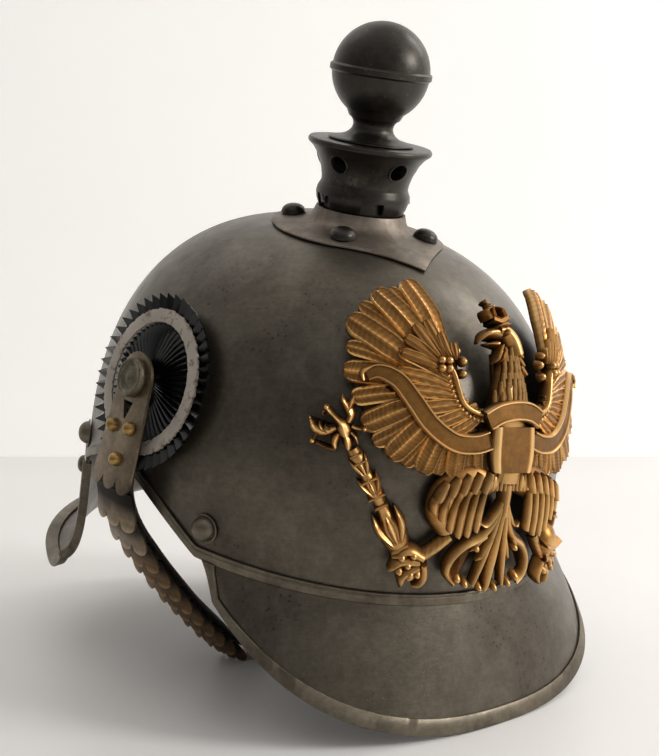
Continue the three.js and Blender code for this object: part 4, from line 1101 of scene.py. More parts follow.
def add_head_plates():
    top, half, length = HEAD_PLATE["top"], HEAD_PLATE["bottom_half"], HEAD_PLATE["length"]
    crown = [(top * math.cos(a), -top * math.sin(a)) for a in [math.pi * (1 - i / 18) for i in range(19)]]
    outline = lobed_outline(top, half, length, HEAD_PLATE["lobe"] + 1.5, crown)
    notch = [Vector(p) for p in ((-3.6, 8.8), (3.6, 8.8), (0.4, 16.2), (-0.4, 16.2))]
    for side, mirror in (("right", False), ("left", True)):
        lift = LEATHER["thickness"] / 2 + HEAD_PLATE["seat"]
        matrix = laid_on_strap(0, length, lift, lift + HEAD_PLATE["lift"], mirror)
        bm = cut_plate([outline, circle(0, 0, HEAD_PLATE["hole"] + 0.4, 24), notch], half, length,
                       HEAD_PLATE["sheet"], HEAD_ARCH)
        piece = make_piece(f"head_scale_{side}", bm, matrix, finish_of("tarnished_nickel"), "nickel",
                           f"head_plate_{side}", sharp=40)
        rounded_edges(piece, 0.0003)
        for number, (x, y) in enumerate(HEAD_RIVETS, 1):
            spot = Matrix.Translation((-x if mirror else x, y, HEAD_PLATE["sheet"] + HEAD_ARCH * 0.8))
            head = rivet(HEAD_RIVET["head"], HEAD_RIVET["height"], HEAD_RIVET["sides"])
            make_piece(f"head_stud_{side}_{number}", head, matrix @ spot, finish_of("rivet_brass"),
                       "old_brass", f"head_rivet_{side}_{number}")


def add_scales():
    for side, mirror in (("right", False), ("left", True)):
        start, step = SCALES["start"], SCALES["first_step"]
        for number in range(SCALES["count"]):
            length = step + SCALES["overlap"]
            share = number / (SCALES["count"] - 1)
            half = SCALES["first_half"] + (SCALES["last_half"] - SCALES["first_half"]) * share
            outline = lobed_outline(half * 0.94, half, length, SCALES["lobe"] + 0.8)
            lift = LEATHER["thickness"] / 2 + SCALES["seat"]
            lift_end = lift + SCALES["lift"] * length / step
            matrix = laid_on_strap(start, start + length, lift, lift_end, mirror)
            bm = cut_plate([outline], half, length, SCALES["sheet"], sizes().arch / MM, 1.6)
            finish = finish_of("scale_nickel" if number < 2 else "brown_brass")
            make_piece(f"scale_{side}_{number + 1}", bm, matrix, finish, "old_brass",
                       f"chin_scale_{side}_{number + 1}", sharp=40)
            start += step
            step *= SCALES["shrink"]


# Eagle plate: relief drawn flat in millimetres about the chest, then laid over the front of the dome

class Relief:
    """Collects raised strips and beads in one bmesh, with a shine value on every corner that paints shade on
    low edges and a highlight on ridges.
    """

    def __init__(self):
        self.bm = bmesh.new()
        self.bm.verts.layers.float.new("relief")
        self.pose = Matrix.Identity(3)

    def add(self, columns, rows, place):
        """A closed bar: place(u, v) gives (x, y, depth, shine), shine running from painted shade when low to
        a painted highlight when high.
        """
        part = bmesh.new()
        bmesh.ops.create_grid(part, x_segments=columns, y_segments=rows, size=0.5)
        layer = part.verts.layers.float.new("relief")
        for vert in part.verts:
            x, y, depth, shine = place(vert.co.x + 0.5, vert.co.y + 0.5)
            posed = self.pose @ Vector((x, y, 1))
            vert.co = (posed.x, posed.y, depth)
            vert[layer] = shine
        bmesh.ops.remove_doubles(part, verts=part.verts, dist=0.01)
        close_ends(part)
        absorb(self.bm, part)

    def strip(self, line, halves, top, base=0.0, edge=0.35, rib=0.0, barbs=0, rim=0.0, along=20, across=10,
              mirror=False):
        """A raised strip along a smooth line, with a table of half widths and a domed or rimmed section."""
        points = np.array(line, float)
        if mirror:
            points = np.column_stack((2 * EAGLE["middle"] - points[:, 0], points[:, 1]))
        centre = smooth_line(points, along, 1.4 if halves[-1] < 0.2 else 1.0)
        tangent = np.gradient(centre, axis=0)
        tangent /= np.linalg.norm(tangent, axis=1)[:, None] + 1e-9
        side = np.column_stack((-tangent[:, 1], tangent[:, 0]))
        shares = 1 - (1 - np.linspace(0, 1, along + 1)) ** (1.4 if halves[-1] < 0.2 else 1.0)
        spread = np.interp(shares, np.linspace(0, 1, len(halves)), halves)
        rows = across + 2

        def place(u, v):
            i = round(u * along)
            k = round(v * rows)
            half = spread[i]
            if k <= across:
                s = 2 * k / across - 1
                dome = (1 - s * s) ** 0.55 if abs(s) < 1 else 0.0
                height = edge + (top - base - edge) * dome
                # Painted highlight on the strip's crown, painted shade at its edges.
                shine = 0.08 + 0.66 * dome
                if rim:
                    border = 1.0 if 0.69 < abs(s) < 0.96 else 0.0
                    height = edge + (top - base - edge) * min(1, 6 * (1 - abs(s))) - rim * (1 - border)
                    # Painted highlight on the raised rim, a darker middle value in the field, painted shade
                    # at the outer edge.
                    shine = 0.38 + 0.5 * border if abs(s) < 0.96 else 0.05
                if rib:
                    ridge = math.exp(-(s / 0.14) ** 2)
                    height += rib * ridge
                    # Painted highlight along the rib.
                    shine += 0.35 * ridge
                if barbs:
                    wave = math.sin(2 * math.pi * (barbs * u + 1.2 * abs(s)))
                    height += 0.08 * wave * dome
                    # Faint painted light and shade across the barbs.
                    shine += 0.05 * wave
                height *= min(1.0, 0.3 + 1.2 * half / (max(halves) + 1e-6))
            else:
                s = 1.0 if k == across + 1 else -1.0
                # The sides down to the plate are in painted shade.
                height, shine = 0.0, 0.1
            x, y = centre[i] + side[i] * half * s
            return x, y, base + height, max(0.0, min(1.0, shine))

        self.add(along, rows, place)

    def both(self, line, halves, top, **values):
        self.strip(line, halves, top, **values)
        self.strip(line, halves, top, mirror=True, **values)

    def bead(self, x, y, radius, top, base=0.5, rings=6, sides=14):
        def place(u, v):
            angle = 2 * math.pi * u
            reach = radius * math.cos(v * math.pi / 2)
            depth = base + (top - base) * math.sin(v * math.pi / 2)
            # Painted highlight, brighter towards the top of the bead.
            return x + reach * math.cos(angle), y + reach * math.sin(angle), depth, 0.3 + 0.6 * v
        self.add(sides, rings, place)

    def sheet(self, outline, top, shine=0.1):
        """A flat backing sheet with a straight edge, painted in shade by its low shine."""
        part = bmesh.new()
        layer = part.verts.layers.float.new("relief")
        verts = [part.verts.new((x, y, 0)) for x, y in outline]
        for a, b in zip(verts, verts[1:] + verts[:1]):
            part.edges.new((a, b))
        bmesh.ops.triangle_fill(part, use_beauty=True, use_dissolve=False, edges=part.edges[:])
        for axis, reach in (((1, 0, 0), 90), ((0, 1, 0), 90)):
            for at in range(-reach, reach, 5):
                bmesh.ops.bisect_plane(part, geom=part.verts[:] + part.edges[:] + part.faces[:],
                                       plane_co=Vector(axis) * at, plane_no=axis)
        made = bmesh.ops.extrude_face_region(part, geom=part.faces[:])
        lifted = [item for item in made["geom"] if isinstance(item, bmesh.types.BMVert)]
        bmesh.ops.translate(part, verts=lifted, vec=(0, 0, top))
        bmesh.ops.recalc_face_normals(part, faces=part.faces)
        for vert in part.verts:
            vert[layer] = shine
        absorb(self.bm, part)


def smooth_line(points, count, ease=1.0):
    """Points on a Catmull-Rom curve through a few points, even or closer together towards its end."""
    ends = np.vstack((2 * points[0] - points[1], points, 2 * points[-1] - points[-2]))
    fine = []
    for p0, p1, p2, p3 in zip(ends, ends[1:], ends[2:], ends[3:]):
        for t in np.linspace(0, 1, 12, endpoint=False):
            fine.append(0.5 * ((2 * p1) + (p2 - p0) * t + (2 * p0 - 5 * p1 + 4 * p2 - p3) * t ** 2
                               + (3 * p1 - p0 - 3 * p2 + p3) * t ** 3))
    fine.append(points[-1])
    fine = np.array(fine)
    run = np.concatenate([[0], np.cumsum(np.linalg.norm(np.diff(fine, axis=0), axis=1))])
    at = run[-1] * (1 - (1 - np.linspace(0, 1, count + 1)) ** ease)
    return np.column_stack([np.interp(at, run, fine[:, axis]) for axis in (0, 1)])


def over_dome(flat):
    """Carries flat points (x, y, depth) to the dome, keeping their distances from the chest."""
    turn = EAGLE["turn"]
    x = flat[:, 0] * math.cos(turn) - flat[:, 1] * math.sin(turn)
    y = flat[:, 0] * math.sin(turn) + flat[:, 1] * math.cos(turn)
    reach = np.hypot(x, y)
    angle = reach / EAGLE["globe"]
    share = np.where(reach > 1e-9, np.sin(angle) / np.maximum(reach, 1e-9), 0)
    direction = np.column_stack((x * share, -np.cos(angle), y * share))
    centre = np.array((0, SKULL["centre_y"] - SKULL["half_length"] + EAGLE["globe"], EAGLE["centre_z"]))
    near, far = np.full(len(flat), 60.0), np.full(len(flat), 200.0)
    for _ in range(32):
        middle = (near + far) / 2
        p = centre + direction * middle[:, None]
        lean = EAGLE["lean"] * np.clip((p[:, 2] - EAGLE["lean_from"]) / EAGLE["lean_over"], 0, 1) ** 2
        grow = EAGLE["stand_off"] + lean + flat[:, 2]
        oval = np.hypot(p[:, 0] / (SKULL["half_width"] + grow),
                        (p[:, 1] - SKULL["centre_y"]) / (SKULL["half_length"] + grow))
        rise = np.maximum(p[:, 2] + SKULL["height"], 0) / (SKULL["height"] + grow)
        inside = oval ** SKULL["power"] + rise ** SKULL["power"] < 1
        near = np.where(inside, middle, near)
        far = np.where(inside, far, middle)
    return centre + direction * near[:, None]


LONG_FEATHERS = (
    ((-34, 44), (-39, 62), (-46.5, 81), 6.6), ((-38, 41), (-49, 58), (-62.5, 74), 7.0),
    ((-41, 37), (-58, 48), (-75.5, 59), 7.0), ((-44, 33), (-60, 35), (-77.5, 34.5), 5.6),
    ((-40, 28), (-54, 20.5), (-67.5, 12), 5.4), ((-35, 25), (-46, 12.5), (-55, 1), 5.4),
    ((-30, 21), (-37, 9), (-41, -3), 5.0), ((-24, 19), (-27, 8), (-27.5, -3), 4.6),
    ((-16, 17), (-16, 8), (-15.2, -0.4), 4.0),
)
SHORT_FEATHERS = (
    ((-38, 48), (-46, 64), (-55.5, 76), 4.4), ((-42, 42), (-57, 58), (-70, 66.5), 4.4),
    ((-46, 35), (-62, 43), (-76.5, 46), 4.4), ((-46, 30), (-60, 27), (-73, 23), 4.6),
    ((-40, 24), (-52, 13), (-62, 5.6), 4.2), ((-34, 20), (-42, 8), (-48.5, -1.2), 4.0),
    ((-27, 18), (-33, 6), (-34.3, -3), 3.8), ((-20, 17), (-21.5, 6), (-21.4, -2.2), 3.6),
)
COVERTS = (
    ((-30, 36), (-38, 44), (-48, 52), 3.6), ((-30, 34), (-42, 41), (-55, 46), 3.6),
    ((-28, 31), (-41, 35), (-56, 37), 3.4), ((-26, 29), (-38, 30), (-52, 30), 3.4),
    ((-24, 27), (-35, 25), (-47, 22.5), 3.4), ((-20, 26), (-30, 21), (-40, 16.5), 3.2),
    ((-16, 24), (-23, 19), (-32, 13.5), 3.0),
)
SHOULDER = (
    ((-34, 43), (-38, 51), (-42.5, 60), 2.6), ((-32, 44), (-34.5, 49), (-36.5, 55), 2.3),
    ((-30, 44), (-30.5, 47.5), (-31, 51), 2.0), ((-36, 43), (-42, 50), (-47.5, 57.5), 2.8),
    ((-37, 42), (-45, 47.5), (-52, 51.5), 2.7), ((-38, 40), (-46, 43), (-54, 45), 2.6),
)


def feather(half, root=0.45, cap=0.16, count=32):
    """Half widths of a feather that widens from its root and ends in a round tip."""
    halves = []
    for i in range(count + 1):
        share = i / count
        widening = min(1.0, root + (1 - root) * 2.0 * share)
        past = max(0.0, (share - 1 + cap) / cap)
        halves.append(half * widening * math.sqrt(max(0.0, 1 - past * past)))
    return halves


def add_wings(plate):
    for root, bend, tip, half in SHORT_FEATHERS:
        plate.both((root, bend, tip), feather(half), 2.6, base=0.4, rib=0.4, barbs=12, rim=0.35, along=50,
                   across=14)
    for root, bend, tip, half in LONG_FEATHERS:
        plate.both((root, bend, tip), feather(half), 3.5, base=0.6, rib=0.6, barbs=16, rim=0.4, along=66,
                   across=18)
    for root, bend, tip, half in COVERTS:
        plate.both((root, bend, tip), feather(half), 4.3, base=1.4, rib=0.45, barbs=6, rim=0.4, along=24,
                   across=14)
    for root, bend, tip, half in SHOULDER:
        plate.both((root, bend, tip), feather(half), 5.2, base=1.6, rib=0.5, rim=0.3, along=20, across=12)
    arm = ((-14, 22.5), (-21, 23.5), (-26.5, 26.5), (-29, 32), (-31, 38), (-33.5, 42))
    plate.both(arm, [1.4, 1.6, 1.7, 1.8, 1.7, 1.5], 5.3, base=1.5)
    bead_line = np.array(((-15.5, 20.4), (-22, 21), (-28, 25), (-31.5, 31), (-33.5, 37)), float)
    for x, y in smooth_line(bead_line, 13):
        for place in (x, 2 * EAGLE["middle"] - x):
            plate.bead(place, y, 1.25, 4.6, 2.4, 4, 10)
    for i in range(4):
        angle = math.radians(45 + 90 * i)
        for sign in (1, -1):
            middle = EAGLE["middle"]
            x = middle + sign * (-35 + 2.3 * math.cos(angle) - middle)
            plate.bead(x, 41.5 + 2.3 * math.sin(angle), 2.2, 6.6, 3.2, 5, 12)
    for x, y, radius in ((-26.2, 38.5, 2.2), (-25.6, 43.6, 2.3), (-28.4, 47.6, 2.1)):
        for place in (x, 2 * EAGLE["middle"] - x):
            plate.bead(place, y, radius, 4.6, 1.2, 5, 12)


def add_feathered(plate, rows, lift, half, length, top):
    """Rows of small hanging feathers over a swelling body: each row is (y, x start, x end, count)."""
    for y, start, end, count in rows:
        for i in range(count):
            x = start + (end - start) * (i + 0.5) / count
            base = lift(x, y) - 0.6
            plate.strip(((x, y + length * 0.45), (x, y), (x, y - length * 0.55)), feather(half), base + top,
                        base=base, rib=0.25, along=10, across=8)


def add_body(plate):
    middle = EAGLE["middle"]
    plate.strip(((middle, -3), (middle, 8), (middle, 20), (-2.5, 30), (-1.5, 40), (-0.5, 50)),
                [9, 12.5, 13.5, 12, 9.6, 7.8, 6.8, 6.2], 5.6, edge=1.0, along=30, across=16)

    def neck_lift(x, y):
        half = max(6.2, 12.5 - 0.28 * (y - 22))
        return 5.4 * math.sqrt(max(0.05, 1 - ((x + 1.5) / half) ** 2 * 0.85))

    rows = [(47.5, -6, 4.5, 4), (44, -6.8, 5.4, 5), (40.5, -7.4, 6, 5), (37, -8.2, 6.8, 6),
            (33.4, -9.6, 8, 6), (30, -12, 10, 8)]
    add_feathered(plate, reversed(rows), neck_lift, 1.5, 6.2, 1.4)
    add_feathered(plate, [(-2.2, -13.5, 9.5, 11)], lambda x, y: 4.0, 1.25, 7.0, 1.8)
    plate.strip(((middle, 1.4), (middle, 18.6)), [10.4, 11.6, 12, 12, 11.8], 7.0, base=3.0, edge=2.4, rim=0.5,
                along=16, across=20)


def add_head(plate):
    plate.pose = Matrix(((0.8, 0.0, -0.8), (0.0, 0.8, 10.4), (0.0, 0.0, 1.0)))
    plate.strip(((3.5, 46), (1.5, 53), (-3, 57.5), (-8.5, 58)), [5.5, 6.0, 6.2, 5.2, 3.6], 7.4, base=0.5,
                along=16, across=12)
    plate.strip(((-7, 57.0), (-12, 57.2), (-17, 55.6), (-20.4, 51.8)), [3.9, 3.4, 2.6, 1.7, 0.4], 6.6,
                base=0.8, along=16)
    plate.strip(((-8.5, 51.6), (-12.5, 51.5), (-16.4, 51.6)), [2.4, 1.7, 1.1, 0.3], 5.4, base=0.8, along=12)
    plate.strip(((-2.5, 60.5), (-6.5, 60.8), (-11, 59.3)), [0.5, 1.1, 1.1, 0.5], 8.6, base=4.0, along=12,
                across=6)
    plate.bead(-5.6, 56.6, 1.9, 9.2, 5.5)
    for x, y, dx in ((-9, 47.5, -3), (-7, 45, -2.6), (-10.5, 44.5, -2.6)):
        plate.strip(((x + 2, y + 3), (x, y), (x + dx, y - 3.6)), [1.3, 1.5, 1.3, 0.8, 0.0], 6.2, base=1.5,
                    along=9)
    for x, y, dx in ((4.5, 55, 3.6), (6, 50.5, 3.2), (6.8, 46, 3.0), (7.4, 41.5, 2.4), (8.6, 37, 2.4)):
        plate.strip(((x - 3, y + 3.5), (x, y), (x + dx, y - 2.6)), [1.3, 1.7, 1.5, 0.9, 0.0], 5.6, base=1.2,
                    along=9)
    plate.strip(((-12.2, 63.4), (-7, 62.6), (-1.6, 64.8)), [1.5, 1.6, 1.6, 1.5], 7.6, base=1.2, rim=0.5,
                along=14)
    crown_arcs = ((-12.5, -13.5, 68.5, -9.8), (-9.5, -9.5, 70, -6.8), (-2, -2.5, 69.5, -6))
    for start, top_x, top_y, end in crown_arcs:
        plate.strip(((start, 64), (top_x, top_y), (end, 70.4)), [1.0, 1.2, 1.2, 1.0, 0.7], 6.8, base=1.0,
                    along=12, across=6)
    plate.bead(-8.6, 71.0, 1.6, 6.8, 1.5)
    plate.strip(((-9.2, 71.5), (-9.9, 76.2)), [0.7, 0.8, 0.7], 4.6, base=1.5, along=6, across=6)
    plate.strip(((-12, 74.4), (-7.2, 73.6)), [0.7, 0.8, 0.7], 4.6, base=1.5, along=6, across=6)
    plate.pose = Matrix.Identity(3)


def add_banner(plate):
    side = ((-67.5, 33.6), (-62.5, 35.8), (-55, 33.2), (-48.5, 26.3), (-40.5, 17.4), (-30.5, 11.6),
            (-21, 11.2), (-14, 13.2))
    plate.both(side, [2.6, 3.9, 4.2, 4.3, 4.3, 4.3, 4.3, 4.3], 5.9, base=1.8, edge=1.6, rim=0.7, along=60,
               across=20)
    plate.both(((-68.6, 31.0), (-69.2, 34.4), (-66.0, 37.2)), [1.0, 1.5, 1.5, 0.8], 6.3, base=1.8, along=12)
    plate.strip(((-17, 20.6), (-11, 23.6), (-3, 25), (5, 24.4), (11.5, 21.6)), [4.2, 4.3, 4.3, 4.3, 4.2], 8.0,
                base=4.5, edge=1.4, rim=0.7, along=30, across=20)


def add_legs(plate):
    thigh = ((-8, -3), (-17, -4), (-25, -8), (-29, -15), (-25.5, -23))
    plate.both(thigh, [5, 6.5, 8.2, 8.6, 8.0, 6.5, 4.2], 5.2, base=0.5, along=22, across=14)
    for i in range(6):
        share = i / 5
        start = (-13.5 - 19.5 * share, -4.5 - 4.0 * share)
        low = -21.5 - 2.6 * math.sin(math.pi * min(1.0, 1.25 * share)) + 5.5 * share ** 3
        end = (-15.0 - 18.5 * share, low)
        swell = 1.2 * math.sin(math.pi * (0.15 + 0.7 * share))
        middle = ((start[0] + end[0]) / 2 - 0.6, (start[1] + end[1]) / 2)
        plate.both((start, middle, end), feather(2.15), 5.6 + swell, base=2.6 + swell, rib=0.35, along=20,
                   across=10)
    for i in range(5):
        x, y = -13.5 - 4.6 * i, -2.2 - 0.3 * i * i
        plate.both(((x + 1.2, y + 3.0), (x, y), (x - 1.6, y - 4.4)), feather(2.4), 7.2, base=3.8, rib=0.3,
                   along=12, across=8)
    shin = ((-24, -24.5), (-28.5, -29.5), (-33.5, -34))
    plate.both(shin, [2.6, 2.4, 2.3, 2.5], 4.4, base=0.6, barbs=5, along=14)
    claws = (((-33, -33), (-39.5, -31.5), (-43.8, -35.5)), ((-34, -34.5), (-41, -36), (-43.5, -40.5)),
             ((-33.5, -36), (-38, -40.5), (-37.5, -45.2)), ((-32, -35), (-30.5, -40), (-33, -44)))
    for line in claws:
        plate.both(line, [1.9, 2.2, 2.0, 1.5, 0.5], 6.2, base=0.8, along=12, across=8)
    knuckles = ((-37, -32.2), (-38, -36), (-36, -39), (-41, -33.8), (-33.6, -38.4), (-40.4, -38.6))
    for x, y in knuckles:
        for place in (x, 2 * EAGLE["middle"] - x):
            plate.bead(place, y, 1.9, 7.0, 2.0, 5, 12)


def add_tail(plate):
    plate.pose = Matrix(((0.94, 0.0, -0.12), (0.0, 0.9, -1.0), (0.0, 0.0, 1.0)))
    plate.strip(((-2, -3), (-2, -10), (-2.2, -16)), [3.2, 3.0, 2.6, 2.4], 5.6, base=0.8, along=12)
    plate.strip(((-2.2, -13), (-2.4, -28), (-2.6, -46.5)), [1.6, 1.9, 2.3, 2.8, 2.6, 1.2], 4.6, base=0.6,
                rib=0.5, along=26)
    petals = (
        (((-3.4, -12), (-5.2, -24), (-7.6, -36), (-9.6, -44.5)), [1.4, 1.9, 2.0, 1.9, 1.2]),
        (((-4, -12), (-6.5, -20), (-11.5, -26), (-17.5, -29.5), (-22, -35), (-22.4, -41), (-18.5, -44.4)),
         [1.3, 1.8, 2.2, 2.4, 2.2, 2.2, 1.9, 1.4]),
        (((-3.2, -10), (-6, -16), (-9.8, -20.5), (-13.6, -19.6)), [1.1, 1.5, 1.8, 1.4, 0.5]),
        (((-5, -24), (-8, -30.5), (-10.2, -35.8)), [0.9, 1.6, 1.8, 1.2, 0.2]),
        (((-8.5, -24.5), (-12, -27.6), (-14.4, -32.2)), [0.8, 1.6, 1.7, 0.9, 0.2]),
    )
    for line, halves in petals:
        plate.both(line, halves, 4.4, base=0.6, rib=0.3, along=22)
    for x, y, radius in ((-17.4, -42.4, 2.0), (-13.2, -44.2, 1.7), (-12.4, -29.8, 1.9), (-6, -45.4, 1.6)):
        for place in (x, 2 * EAGLE["middle"] - x):
            plate.bead(place, y, radius, 5.2, 0.8)
    plate.pose = Matrix.Identity(3)


def add_sceptre(plate):
    foot, head = Vector((-37.5, -37.5)), Vector((-68.5, 1.0))
    along = (head - foot).normalized()
    across = Vector((-along.y, along.x))

    def at(share, off=0.0):
        point = foot.lerp(head, share) + across * off
        return point.x, point.y

    shaft = [2.8, 2.4, 2.8, 4.2, 5.4, 5.2, 3.6, 2.6, 2.6, 3.4, 3.6, 2.6, 2.8, 3.4, 2.6]
    plate.strip((at(-0.1), at(0.5), at(1.02)), shaft, 4.8, base=0.4, along=56, across=10)
    collars = ((0.16, 3.2), (0.22, 2.6), (0.52, 2.6), (0.6, 3.4), (0.74, 3.6), (0.9, 3.2), (0.97, 2.4))
    for share, half in collars:
        plate.strip((at(share, -half), at(share), at(share, half)), [0.7, 1.0, 1.1, 1.0, 0.7], 5.4, base=0.6,
                    along=8, across=6)
    for off, tip in ((-1, 5.6), (0, 0.0), (1, 5.6)):
        plate.strip((at(0.2, off * 1.4), at(0.33, off * 4.2), at(0.47, off * 1.6 + off * tip * 0.5)),
                    [1.0, 2.0, 2.2, 1.5, 0.2], 5.6, base=0.8, rib=0.3, along=14)
        plate.strip((at(0.62, off), at(0.7, off * 2.8), at(0.78, off * 4.0)), [0.9, 1.5, 1.6, 1.0, 0.2], 5.2,
                    base=0.8, rib=0.3, along=10)
        plate.strip((at(0.8, off), at(0.88, off * 2.4), at(0.95, off * 3.4)), [0.8, 1.3, 1.4, 0.9, 0.2], 5.0,
                    base=0.8, along=10)
    add_small_eagle(plate)


# The small eagle on the sceptre, about its own breast: the line of each stroke, its half widths and its top
SMALL_EAGLE = dict(x=-74.0, y=9.0)
SMALL_EAGLE_STROKES = (
    (((-3, 0), (-7, -2.5), (-10.5, -2.5), (-13, 0), (-14.5, 2.5)), (1.7, 2.3, 2.7, 2.3, 1.4, 0.2), 4.0),
    (((-6, -2.5), (-8.5, -1.5), (-10, 1.5)), (0.9, 1.4, 0.4), 4.4),
    (((-5, -1), (-6.5, -0.5), (-7.5, 0.5)), (0.9, 1.2, 0.4), 4.2),
    (((1.5, 3.5), (2, 6.5), (0.5, 9.5), (-1.5, 12), (-2.5, 15)), (1.6, 2.0, 2.4, 2.2, 1.6, 0.3), 4.0),
    (((1, 8), (1.5, 11.5), (2.5, 15)), (0.9, 1.5, 0.9), 4.3),
    (((3, 2), (5.5, 1.5), (11, 2)), (1.4, 1.2, 1.1, 0.8), 3.8),
    (((-1.5, -2), (-2.5, -5.5), (-1.5, -8.5)), (1.2, 2.1, 2.0, 1.1), 4.2),
    (((1, -1.5), (2.5, -4.5), (3.5, -8)), (1.5, 2.2, 2.2, 1.1), 4.4),
    (((3, -0.5), (5, -2), (6.5, -4.5)), (1.0, 1.2, 0.7), 4.0),
    (((-1.5, -9), (-5, -9), (-9.5, -8)), (1.0, 0.7, 0.7, 0.8), 3.6),
    (((-10, -8.5), (-10.5, -6), (-10, -4)), (0.7, 0.7, 0.7), 3.2),
    (((1.5, -2.5), (0, 0.5), (-1, 2.5), (-3, 3.5)), (2.0, 3.3, 3.3, 2.4, 1.5), 5.6),
    (((-2, 3), (-4.5, 5), (-6.5, 6.5), (-8, 8)), (1.8, 1.5, 1.4, 1.7, 1.4), 5.2),
    (((-8.5, 6.5), (-9, 5.5), (-8.5, 4)), (0.9, 0.8, 0.2), 5.0),
)
SMALL_EAGLE_BEADS = ((-11, -7.5, 1.5), (-8, 8, 1.7), (8, 2, 1.5), (0, 1, 2.4))


def add_small_eagle(plate):
    plate.pose = Matrix(((1.0, 0.0, SMALL_EAGLE["x"]), (0.0, 1.0, SMALL_EAGLE["y"]), (0.0, 0.0, 1.0)))
    for line, halves, top in SMALL_EAGLE_STROKES:
        plate.strip(line, halves, top, base=0.4, rib=0.25, along=20, across=8)
    for x, y, radius in SMALL_EAGLE_BEADS:
        plate.bead(x, y, radius, 5.4, 1.0)
    plate.pose = Matrix.Identity(3)


def add_orb(plate):
    x, y = 31.5, -28.5
    plate.bead(x, y, 6.6, 7.4, 0.4, 9, 26)
    plate.strip(((x - 6.4, y + 0.6), (x, y - 0.6), (x + 6.4, y + 0.6)), [0.9, 0.9, 0.9], 8.2, base=1.0,
                along=14, across=6)
    plate.strip(((x + 2.5, y + 5), (x + 4.4, y + 10.5)), [0.9, 0.8, 0.8], 4.4, base=0.8, along=6, across=6)
    plate.strip(((x + 1.6, y + 9.2), (x + 6.6, y + 7.8)), [0.8, 0.8, 0.8], 4.4, base=0.8, along=6, across=6)


WING_BACK = ((-13, 22), (-22, 24), (-27, 28), (-29, 34), (-27, 40), (-28, 46), (-34, 50), (-39, 60),
             (-42, 76), (-48, 77), (-53, 72), (-60, 70), (-66, 64), (-72, 57), (-72, 50), (-73, 42),
             (-73, 32), (-70, 24), (-64, 14), (-58, 8), (-52, 3), (-42, 1), (-28, 0), (-14, 2))


def add_backing(plate):
    mirror = [(2 * EAGLE["middle"] - x, y) for x, y in WING_BACK]
    for outline in (WING_BACK, mirror):
        plate.sheet(outline, 1.2)
    plate.sheet(((-13, -2), (-14, 22), (-10, 34), (-9, 48), (4, 48), (7, 34), (11, 22), (9.5, -2)), 1.4)


EAGLE_PARTS = (add_backing, add_wings, add_body, add_head, add_banner, add_legs, add_tail, add_sceptre,
               add_orb)


def add_eagle():
    plate = Relief()
    for add in EAGLE_PARTS:
        add(plate)
    bm = plate.bm
    flat = np.array([tuple(vert.co) for vert in bm.verts])
    for vert, point in zip(bm.verts, over_dome(flat)):
        vert.co = point
    posts = EAGLE_POSTS
    for x in posts["across"]:
        foot, head = (Vector(over_dome(np.array([[x, posts["up"], depth]]))[0])
                      for depth in (posts["start"], posts["end"]))
        stand = Matrix.Translation((foot + head) / 2) @ seated(Vector(), (head - foot).normalized())
        bmesh.ops.create_cone(bm, cap_ends=True, segments=posts["sides"], radius1=posts["radius"],
                              radius2=posts["radius"], depth=(head - foot).length, matrix=stand)
    make_piece("eagle", bm, HELMET, finish_of("old_gilt"), "gilt", "eagle_plate", sharp=38)


# Stage

def add_stage():
    c = colours()
    flat = bmesh.new()
    bmesh.ops.create_grid(flat, x_segments=1, y_segments=1, size=STAGE["size"])
    upright = flat.copy()
    stage_piece("floor", flat, c.floor, STAGE["floor_roughness"], one_sided=False)
    heading, distance, eye = CAMERA["heading"], STAGE["wall_distance"], camera_place()
    middle = Vector((eye.x + distance * math.sin(heading), eye.y + distance * math.cos(heading),
                     STAGE["size"] - 0.01))
    turn = Matrix.Rotation(-heading, 4, "Z") @ Matrix.Rotation(math.pi / 2, 4, "X")
    bmesh.ops.transform(upright, matrix=Matrix.Translation(middle) @ turn, verts=upright.verts)
    stage_piece("wall", upright, c.wall, STAGE["wall_roughness"], one_sided=True)
    for name, place, size, share, colour in LAMPS:
        add_lamp(name, place, size, share * sizes().lamp, colour)
    add_surroundings()


def add_surroundings():
    """A studio that is bright behind the helmet and darker behind the camera."""
    sky = bpy.data.worlds.new("studio")
    sky.use_nodes = True
    tree = sky.node_tree
    background = tree.nodes["Background"]
    background.inputs["Color"].default_value = SKY["colour"]
    ahead = add_node(tree, "ShaderNodeVectorMath", operation="DOT_PRODUCT")
    ahead.inputs[1].default_value = SKY["toward"]
    tree.links.new(add_node(tree, "ShaderNodeTexCoord").outputs["Generated"], ahead.inputs[0])
    facing = ahead.outputs["Value"]
    strength = remap(tree, facing, SKY["dark_at"], SKY["bright_at"], SKY["dark"], SKY["bright"])
    tree.links.new(strength, background.inputs["Strength"])
    bpy.context.scene.world = sky
    bpy.context.scene.view_settings.view_transform = "Standard"


